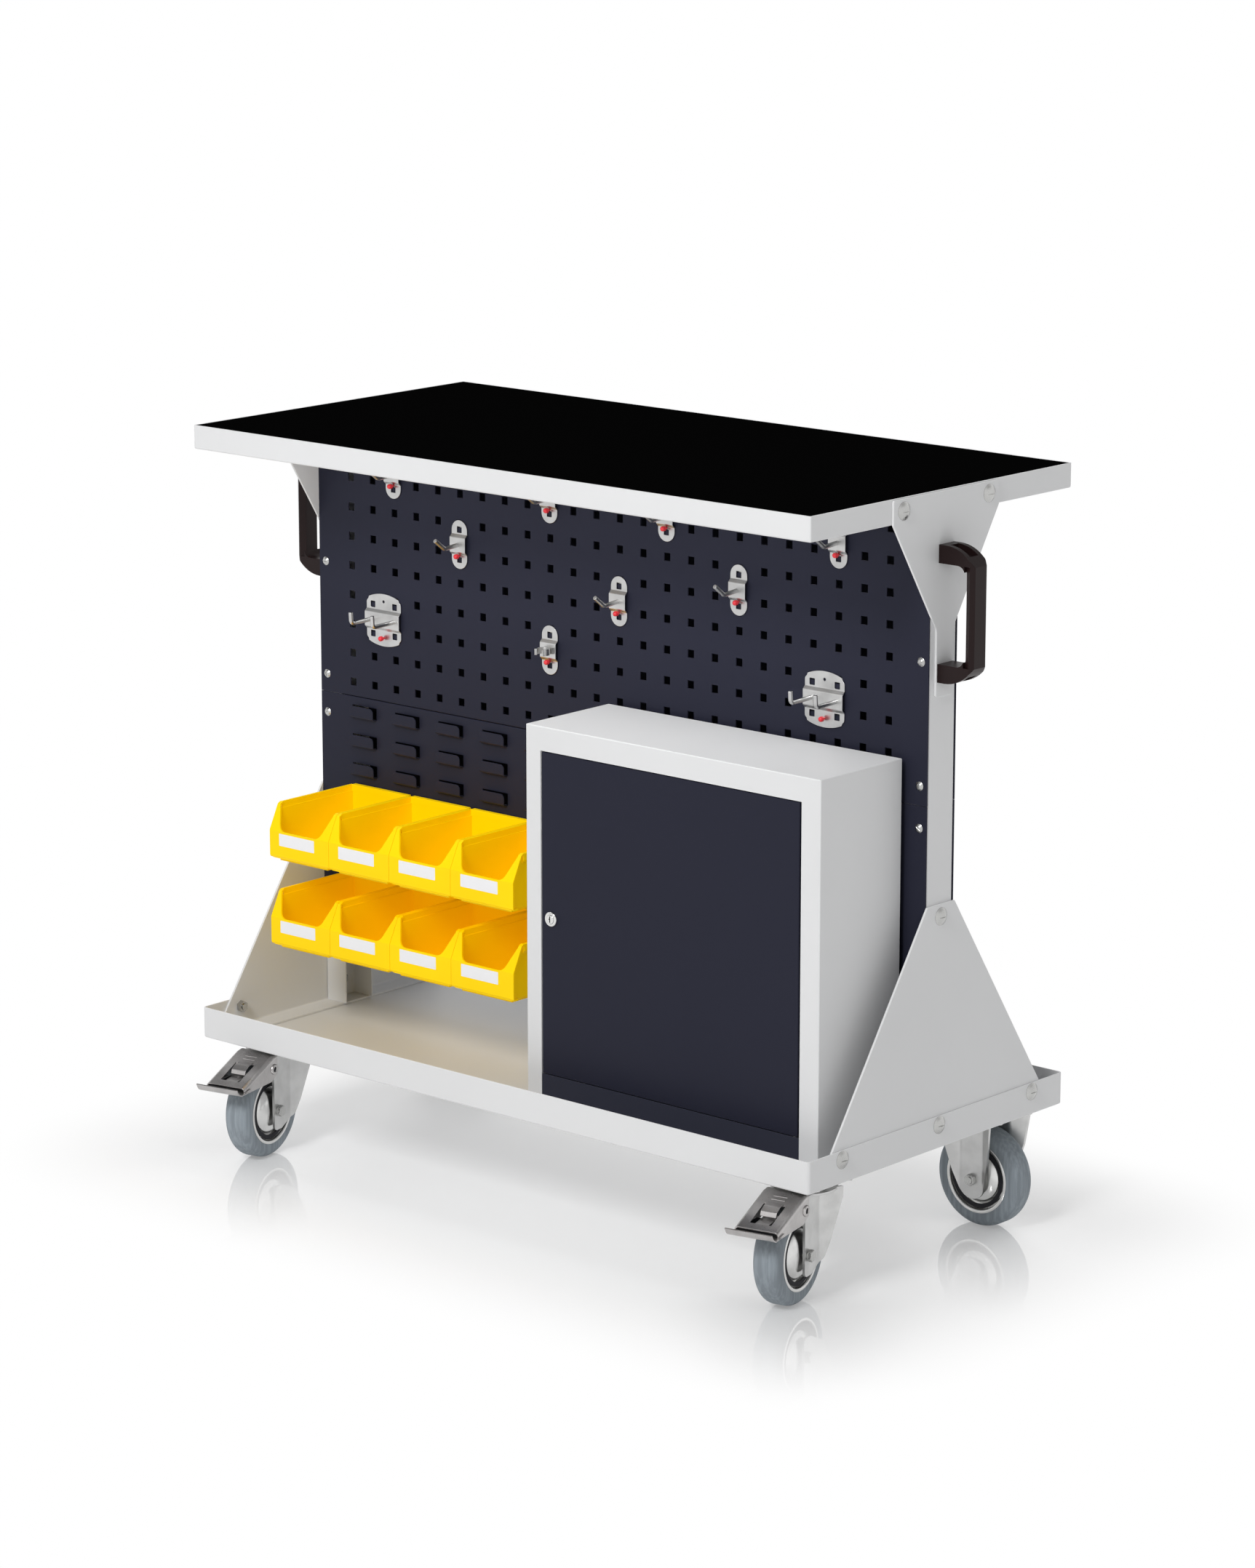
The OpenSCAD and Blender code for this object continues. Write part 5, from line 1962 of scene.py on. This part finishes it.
    def pin(self, z: float) -> Part:
        """A red locking pin with a domed head.

        Args:
            z: Its height on the plate.

        Returns:
            The pin.
        """
        profile = [(0, -10.5), (1.6, -10.4), (2.8, -9.6), (3.2, -8.4), (3.2, -5.2),
                   (2.6, -4.4), (1.5, -4.0), (1.4, -1.6), (0, -1.6)]
        return Part.turned("red_pin", profile, Axis.Y, (0, 0, z), 20)

    def spread(self, master: Part, spots: Sequence[Flat], name: str) -> Part:
        """Copies a part to hole positions and joins the copies.

        Args:
            master: The part, modelled at the origin.
            spots: Column and row of each copy.
            name: Name of the joined piece.

        Returns:
            The joined piece.
        """
        panel = Span.of("front_hole_panel")
        x0 = panel.cx - self.pitch * (Panels.columns - 1) / 2
        z0 = panel.cz - self.pitch * (Panels.rows - 1) / 2
        copies = [master.twin("copy").place((x0 + column * self.pitch, panel.y0 - 0.3,
                                             z0 + (row + 0.5) * self.pitch - self.drop))
                  for column, row in spots]
        part = copies[0].join(*copies[1:])
        part.obj.name = name
        master.discard()
        return part

    def build(self) -> None:
        """See Assembly."""
        groups = ((self.single(), self.singles, "hooks_single", "single_hooks"),
                  (self.double(), self.doubles, "hooks_double", "double_hooks"),
                  (self.clip(), self.clips, "clip_round", "spring_clip"))
        for master, spots, name, node in groups:
            self.report(self.spread(master, spots, name).ready(Coat.ZINC, "frame", node))
        pins = self.spread(self.pin(-14.5), (*self.singles, *self.clips), "pins_red")
        pins.join(self.spread(self.pin(-23), self.doubles, "pins_low"))
        self.report(pins.ready(Coat.RED, "frame", "hook_lock_pins"))


@dataclass
class Handles(Assembly):
    """Bow handles of moulded plastic on both gussets.

    Attributes:
        out: How far the bow stands out.
        thick: Thickness of the grip.
        wide: Its width.
        half: Half of the handle's height.
        opening: Half of the height that the hand fits in.
        flat: How far an arm runs straight out.
        bow: Radius of the outer corner.
        pocket: Half width of the pocket beside the screw.
    """

    out: float = 50.5
    thick: float = 13.0
    wide: float = 29.0
    half: float = 81.3
    opening: float = 59.5
    flat: float = 10.0
    bow: float = 48.6
    pocket: float = 7.5

    def build(self) -> None:
        """See Assembly."""
        s = Span.of("handle_right")
        lean = math.degrees(math.acos((self.out - self.flat) / self.bow))
        centre = self.bow - self.half
        low = arc((self.flat, centre), self.bow, -90, -lean, 9)
        high = [(x, -z) for x, z in reversed(low)]
        inner = filleted([(0, self.opening), (self.out - self.thick, self.opening),
                          (self.out - self.thick, -self.opening), (0, -self.opening)],
                         [0, 10, 10, 0], 6)
        outline = [(0, -self.half), *low, *high, (0, self.half), *inner]
        part = Part.prism("handle_bow", outline, Axis.Y, -self.wide / 2, self.wide / 2)
        h, face = self.wide / 2, self.out
        for way in (-1, 1):
            outer = [(face - 5, h), (face + 1, h - 4.6), (face + 1, h + 1), (face - 5, h + 1)]
            inside = [(face - self.thick - 0.5, h - 4.8), (face - 5, h), (face - 5, h + 1),
                      (face - self.thick - 0.5, h + 1)]
            for wedge, reach in ((outer, self.half), (inside, self.opening)):
                part.cut(Part.prism("wedge", [(x, way * y) for x, y in wedge], Axis.Z,
                                    -reach, reach))
            part.cut(self.hollow(way))
        part.soften(1.1, 3, 25)
        for side in Side:
            copy = part.twin(f"bow_handle_{side.word}")
            copy.place((side.value * s.x0, s.cy, s.cz), side.turn)
            self.report(copy.ready(Coat.GRIP, "frame", f"handle_{side.word}"))
        part.discard()

    def hollow(self, way: int) -> Part:
        """Pocket in the outside of one arm, below the screw.

        Args:
            way: Minus one for the lower arm, one for the upper.

        Returns:
            The part to cut away.
        """
        centre = self.bow - self.half
        edge = arc((self.flat, centre), self.bow - 8, -88, -42, 8)
        outline = [*edge, (edge[-1][0], -96), (edge[0][0], -96)]
        return Part.prism("hollow", [(x, -way * z) for x, z in outline], Axis.Y,
                          -self.pocket, self.pocket).outwards()


@dataclass
class Castors(Assembly):
    """Braked swivel castors in front and fixed ones behind.

    Attributes:
        wheel_r, wheel_half: Radius and half width of a wheel.
        rim_r: Radius of the hub's seat for the tyre.
        groove: Inner and outer radius of the dark rings of painted shade in the hub's grooves.
        leg_in, leg_sheet: From the middle to a fork side, and its thickness.
        crown, plate_low: Underside of a swivelling fork's top and of a fixed plate.
        mount: Height of the castors over the floor.
        trail, turn: From axle to swivel, and how far that is turned, in degrees.
        pivot: Place of the pedal's pivot along Y, and its height over the axle.
        pedal_half, pedal_sheet: Half width of the pedal and thickness of its sheet.
    """

    wheel_r: float = 62.5
    wheel_half: float = 17.5
    rim_r: float = 43.0
    groove: Flat = (33.2, 38.4)
    leg_in: float = 24.0
    leg_sheet: float = 3.0
    crown: float = 132.0
    plate_low: float = 147.0
    mount: float = 150.0
    trail: float = 38.0
    turn: float = 11.5
    pivot: Flat = (-12.0, 58.0)
    pedal_half: float = 28.2
    pedal_sheet: float = 1.6

    def leg(self, outline: Sequence[Flat], bends: Sequence[tuple[float, float]]) -> Part:
        """A fork side: cut from a sheet that is bent about upright lines.

        Args:
            outline: Its outline in YZ.
            bends: Place along Y and heading in degrees after each bend, from the middle
                outwards; headings turn away from the wheel.

        Returns:
            The side at +X.
        """
        half = self.leg_in + self.leg_sheet / 2
        line: list[Flat] = []
        for way in (-1, 1):
            path = [(half, 0.0)]
            heading = 0.0
            for place, turn in [b for b in bends if b[0] * way > 0] + [(way * 90.0, 0.0)]:
                x, y = path[-1]
                path.append((x + abs(place - y) * math.tan(math.radians(heading)), place))
                heading = turn
            line = [*path[:0:-1], *line] if way < 0 else [*line, *path[1:]]
        radii = [0.0] + [9.0] * (len(line) - 2) + [0.0]
        sheet = Part.strip("fork_side", filleted(line, radii, 5, False), Axis.Z, 20, 160,
                           self.leg_sheet)
        sheet.keep(Part.prism("form", outline, Axis.X, 0, 60))
        return sheet.soften(0.7, 3, 40)

    def fork(self) -> Part:
        """Swivelling fork; the axle stands at the origin's Y.

        Returns:
            The fork.
        """
        top = self.crown + self.leg_sheet
        outline = filleted([(-10, 37.5), (6, 37.5), (31.5, 50), (39, 69.5), (54, 122.5),
                            (54, top), (-8, top), (-20, 127.5), (-20, 113.5), (-10, 107.5)],
                           [6, 14, 12, 40, 4, 0, 4, 4, 4, 6], 5)
        part = self.leg(outline, ((26.0, 30.0),))
        part.join(part.twin("mirror").place(size=(-1, 1, 1)))
        out = self.leg_in + self.leg_sheet - 0.4
        plan = [(-out, -3.6), (out, -3.6), (out, 26), (out + 15.6, 53.6),
                (-out - 15.6, 53.6), (-out, 26)]
        crown = Part.prism("crown", filleted(plan, [2, 2, 6, 4, 4, 6], 4), Axis.Z,
                           self.crown, top - 0.1).soften(0.4)
        disc = Part.disc("disc", (0, self.trail, self.crown - 0.1), Axis.Z, 40.0, 3.0, 64)
        race = Part.turned("race", [(0, top - 1), (25.5, top - 1), (27, top + 1),
                                    (27, top + 4.5), (26.2, 140.7), (7, 140.7), (7, 139),
                                    (0, 139)], Axis.Z, (0, self.trail, 0), 48)
        return part.join(crown, disc.soften(0.6), race.soften(0.3, 2, 40))

    def pedal(self) -> Part:
        """Brake pedal: a housing with a window, a tab and a curled lip.

        Returns:
            The pedal.
        """
        x, t, kink = self.pedal_half, self.pedal_sheet, self.pivot[0]
        tip, back, low, fold, high = -80.0, -2.0, 103.5, 112.5, 138.0
        slope = (high - fold) / (kink - tip)

        def surface(y: float) -> float:
            """Height of the sloping top."""
            return fold + (y - tip) * slope

        line = filleted([(-x, 90), (-x, high - t / 2), (x, high - t / 2), (x, 90)],
                        4.5, 6, False)
        part = Part.strip("brake_pedal", line, Axis.Y, tip, back, t)
        part.bisect((0, kink, 0), (0, 1, 0))
        part.pick(Pick.VERTS, lambda place, way: place.y < tip + 0.1)
        part.move((0, 0, fold - high))
        part.pick(Pick.VERTS, lambda place, way: place.y > back - 0.1)
        part.move((0, 0, 1.4))
        cheek = filleted([(tip - 1, low), (tip + 2, low), (-17, low + 1.5), (-4, low + 10),
                          (-4, 150), (tip - 1, 150)], [0, 3, 10, 5, 0, 0], 5)
        part.keep(Part.prism("form", cheek, Axis.X, -40, 40))
        start, end = tip + 10, -34.0
        window = filleted(box_outline(-14, start, 14, end), 1.5, 3)
        part.cut(Part.prism("window", window, Axis.Z, 60, 160)).soften(0.45, 2, 35)
        bed = Part.strip("bed", [(start + 0.5, surface(start) - 2.6),
                                 (end - 4, surface(end) - 12)], Axis.X, -9, 9, 1.4)
        curl = filleted([(end + 2, surface(end + 2) + 0.2), (end - 7, surface(end - 7) + 2.2),
                         (end - 15, surface(end - 15) + 0.6), (end - 17, surface(end - 17) - 4)],
                        [0, 8, 3, 0], 5, False)
        tab = Part.strip("tab", curl, Axis.X, -10.5, 10.5, 1.4)
        lip_line = filleted([(tip + 12, low + 5.0), (tip, low + 2.6), (tip - 8, low + 1.0),
                             (tip - 15, low + 4.4), (tip - 19, low + 11.4)],
                            [0, 4, 8, 8, 0], 5, False)
        lip = Part.strip("lip", lip_line, Axis.X, -30.8, 30.8, t)
        for y in (-26.0, -20.0):
            part.join(Part.wire("rib", [(-9, y, surface(y)), (9, y, surface(y))], 0.8, 2))
        collar = [(3.2, -0.6), (3.2, 1.6), (3.8, 2.3), (4.9, 2.6), (6.2, 2.2), (7.0, 1.0),
                  (7.0, -0.6), (3.2, -0.6)]
        for side in Side:
            rivet = Part.turned("pivot", collar, Axis.X, (0, 0, 0), 28)
            part.join(rivet.place((side.value * (x + t / 2 - 0.4), kink,
                                   self.wheel_r + self.pivot[1]), side.turn))
        return part.join(bed.soften(0.3), tab.soften(0.45, 3), lip.soften(0.5, 3))

    def recess(self) -> Part:
        """Painted shade for the dark inside the pedal: a dark sheet under its window and dark
        discs in the bores of its pivots.

        Returns:
            The dark piece.
        """
        # Painted shade: a dark sheet below the window and dark discs in the pivot bores.
        part = Part.strip("pedal_recess", [(-77.0, 108.6), (-30.0, 108.6)], Axis.X, -26, 26,
                          1.0).soften(0.3)
        (y, z), out, deep = self.pivot, self.pedal_half + self.pedal_sheet / 2, 0.6
        for x in (-out - deep, out):
            part.join(Part.disc("bore", (x, y, self.wheel_r + z), Axis.X, 3.4, deep, 20))
        return part

    def seal(self) -> Part:
        """Dark rings of painted shade in the grooves of the hub.

        Returns:
            Both rings.
        """
        low, high = self.groove
        # Painted shade: thin dark rings that darken the grooves of the hub.
        rings = [Part.turned("seal", [(low, x), (high, x), (high, x + 1), (low, x + 1), (low, x)],
                             Axis.X, (0, 0, self.wheel_r), 64) for x in (14.4, -15.4)]
        return rings[0].join(rings[1])

    def fixed(self) -> Part:
        """Fixed fork with its plate.

        Returns:
            The fork.
        """
        top = self.plate_low
        flank = [(-37, top + 1), (-37, top - 7), (-32, 99.5), (-25, 70.5)]
        outline = [*flank, *arc((0, self.wheel_r - 4.5), 20, 205, 335, 16),
                   *((-y, z) for y, z in reversed(flank))]
        part = self.leg(outline, ((17.0, 37.0), (-17.0, 37.0)))
        part.join(part.twin("mirror").place(size=(-1, 1, 1)))
        out = self.leg_in + self.leg_sheet
        crown = Part.block("crown", (-out + 0.3, -16.6, top - self.leg_sheet),
                           (out - 0.3, 16.6, top + 1)).soften(1.2, 3)
        plate = Part.prism("plate", filleted(box_outline(-42.5, -52.5, 42.5, 52.5), 8, 5),
                           Axis.Z, top, self.mount).soften(0.5)
        return part.join(crown, plate)

    def tyre(self) -> Part:
        """Rubber tyre with rounded shoulders.

        Returns:
            The tyre.
        """
        r, half, rim = self.wheel_r, self.wheel_half, self.rim_r
        crown = [(r - 0.05, -5.6), (r, 0), (r - 0.05, 5.6)]
        upper = arc((r - 11, half - 11), 11, 0, 90, 9)
        lower = [(rad, -x) for rad, x in reversed(upper)]
        profile = ([(rim + 2.1, -half + 0.4), (rim + 3, -half)] + lower + crown + upper
                   + [(rim + 3, half), (rim + 2.1, half - 0.4), (rim + 2.1, 15.4),
                      (rim - 2.9, 4), (rim - 2.9, -4), (rim + 2.1, -15.4),
                      (rim + 2.1, -half + 0.4)])
        return Part.turned("tyre", profile, Axis.X, (0, 0, self.wheel_r), 96)

    def hub(self) -> Part:
        """Pressed hub: domed disc, groove and bright rim ring.

        Returns:
            The hub.
        """
        side = self.wheel_half
        face = [(5.1, 21.8), (9.4, 21.8), (10.4, 21), (14, 20.6), (19, 19.8), (24, 18.2),
                (28.5, 15.6), (31.8, 12.2), (33.6, 8.8), (34.6, 6.6), (37.2, 6.6),
                (39.2, 9.6), (40.6, side - 1.4), (41.2, side + 0.1), (42.2, side + 0.5),
                (44.2, side + 0.45), (45, side - 0.1), (45, side - 2)]
        mirror = [(r, -x) for r, x in reversed(face)]
        profile = [*face, (40, 4), (40, -4), *mirror, (5.1, -21.8), (5.1, 21.8)]
        return Part.turned("hub", profile, Axis.X, (0, 0, self.wheel_r), 64)

    def axle(self) -> Part:
        """Axle bolt with chamfered hexagons at both ends.

        Returns:
            The axle.
        """
        out, fasteners = self.leg_in + self.leg_sheet, Fasteners()
        part = Part.disc("axle", (-out - 7.5, 0, self.wheel_r), Axis.X, 5, 2 * out + 8.5, 24)
        part.soften(0.5)
        for x in (out, -out - fasteners.nut_high):
            part.join(fasteners.nut("hex").place((x, 0, self.wheel_r), (18, 0, 0)))
        return part

    def build(self) -> None:
        """See Assembly."""
        # Two kinds here are painted shade: the dark pieces in the pedal and in the hub's grooves.
        kinds = {"fork": (self.fork(), Coat.ZINC), "pedal": (self.pedal(), Coat.PRESSED),
                 "recess": (self.recess(), Coat.SHADE), "fixed": (self.fixed(), Coat.ZINC),
                 "tyre": (self.tyre(), Coat.TYRE), "hub": (self.hub(), Coat.RIM),
                 "seal": (self.seal(), Coat.SHADE), "axle": (self.axle(), Coat.STEEL)}
        for end, turn in (("front", self.turn), ("rear", 90.0)):
            for side in Side:
                corner, pedal = f"{end}_{side.word}", f"pedal_{side.word}"
                spot, wheel = Span.of(f"tyre_{corner}"), f"wheel_{corner}"
                swivel = f"fork_{side.word}" if end == "front" else "frame"
                plan = [("tyre", wheel, f"tyre_{corner}"), ("hub", wheel, f"hub_{corner}"),
                        ("seal", wheel, ""), ("axle", swivel, f"axle_{corner}")]
                if end == "front":
                    plan += [("fork", swivel, swivel), ("pedal", pedal, pedal),
                             ("recess", pedal, "")]
                else:
                    plan += [("fixed", "frame", f"fixed_fork_{side.word}")]
                for kind, body, node in plan:
                    master, coat = kinds[kind]
                    copy = master.twin(f"{kind}_{corner}_piece")
                    copy.place((spot.cx, spot.cy, 0), (0, 0, turn))
                    self.report(copy.ready(coat, body, *([node] if node else [])))
        for master, _ in kinds.values():
            master.discard()
        self.report(self.dress("swivel_plates", Coat.ZINC, 0.4))


@dataclass
class Bins(Assembly):
    """Open-fronted plastic storage bins with paper labels.

    Attributes:
        depth: From the back wall to the front.
        back: How far the hooked edge stands behind the back wall.
        high, front, ledge: Height of the rim, the mouth's foot and the ledge.
        wall: Thickness of the walls.
        half, reach: Half width of the tub, and over its rim and front.
        foot: How far the tub's floor stands over its feet.
        label: Width and height of the label.
    """

    depth: float = 148.0
    back: float = 5.5
    high: float = 74.0
    front: float = 40.0
    ledge: float = 66.0
    wall: float = 2.0
    half: float = 49.2
    reach: float = 52.2
    foot: float = 4.4
    label: Flat = (62.0, 15.8)

    def tub(self) -> Part:
        """Floor and walls, with the back at Y nothing.

        Returns:
            The tub, open above and in front.
        """
        d = self.depth - 1.5
        side = [(0, self.foot), (-d, self.foot), (-d, self.front - 1), (-d + 12.5, self.ledge),
                (0, self.ledge)]
        part = Part.prism("bin", side, Axis.X, -self.half, self.half)
        part.delete(Pick.FACES, lambda place, way: way.z > 0.2)
        part.outwards()
        part.pick(Pick.EDGES, lambda place, way: abs(abs(place.x) - self.half) < 0.1
                  and abs(way.x) < 0.1 and place.z < self.foot + 0.1)
        part.bevel(2.2, 3)
        part.modify("SOLIDIFY", thickness=self.wall * MM, offset=-1, use_even_offset=True)
        foot = Part.block("foot", (9.6 - self.reach, 7.8 - self.depth, 0),
                          (self.reach - 9.6, -8, self.foot + 1))
        return part.outwards().soften(0.5, 2, 35).join(foot.soften(1.4, 3))

    def face(self) -> Part:
        """The front: a bent plate with the mouth cut out between two flanges.

        Returns:
            The front.
        """
        d, low = self.depth, self.foot + 1
        line = filleted([(9 - d, low), (1 - d, low), (1 - d, self.front), (16 - d, 71),
                         (20 - d, 73)], [0, 3, 4, 2, 0], 4, False)
        plate = Part.strip("face", line, Axis.X, -self.reach, self.reach, self.wall)
        a, b = self.reach - 18, self.half - self.wall
        mouth = filleted([(-a, self.front), (a, self.front), (b, 70), (b, 90), (-b, 90),
                          (-b, 70)], [12, 12, 2, 0, 0, 2], 5)
        plate.cut(Part.prism("mouth", mouth, Axis.Y, -d - 5, 30 - d))
        return plate.soften(0.6, 3, 35)

    def rim(self) -> Part:
        """The ledge round the opening and the hooked back edge.

        Returns:
            The rim.
        """
        h, half, reach, back = self.high, self.half, self.reach, self.back
        parts = []
        for way in (-1, 1):
            section = filleted([(way * (half - 0.7), h - 14), (way * reach, self.ledge - 1),
                                (way * reach, h), (way * (half - 0.7), h)],
                               [0, 1, 1.2, 0.8], 3)
            parts.append(Part.prism("rail", section, Axis.Y, 19.5 - self.depth, 0))
        parts.append(Part.block("back", (-half, -self.wall, h - 14), (half, back, h)))
        parts.append(Part.block("hook", (-half, 3.6, h - 19), (half, back, h - 10)))
        return parts[0].join(*parts[1:]).soften(0.5, 2, 40)

    def paper(self) -> Part:
        """The blank label on the front.

        Returns:
            The label.
        """
        wide, high = self.label
        x0, z0, y = 17.0 - self.reach, 21.6, -self.depth
        part = Part.prism("label", filleted(box_outline(x0, z0, x0 + wide, z0 + high), 0.6, 2),
                          Axis.Y, y - 0.28, y + 0.1)
        return part.soften(0.08, 1)

    def build(self) -> None:
        """See Assembly."""
        master = self.tub().join(self.face(), self.rim())
        label = self.paper()
        for row in "ab":
            for number in range(1, 5):
                node = f"bin_{row}{number}"
                s = Span.of(node)
                place = (s.cx, s.y1 - self.back, s.z0)
                body = master.twin(f"storage_{node}").place(place)
                self.report(body.ready(Coat.BIN, node, node))
                tag = label.twin(f"label_{row}{number}").place(place)
                self.report(tag.ready(Coat.PAPER, node))
        master.discard()
        label.discard()


def main() -> None:
    """Builds the whole trolley and its studio."""
    logging.basicConfig(level=logging.INFO, format="%(name)s: %(message)s")
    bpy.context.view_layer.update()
    assemblies: tuple[Assembly, ...] = (
        FrameWork(), Worktop(), Panels(), Fasteners(), Cabinet(), ToolHolders(), Handles(),
        Castors(), Bins())
    for assembly in assemblies:
        assembly.build()
    Studio().build()


if __name__ == "__main__":
    main()
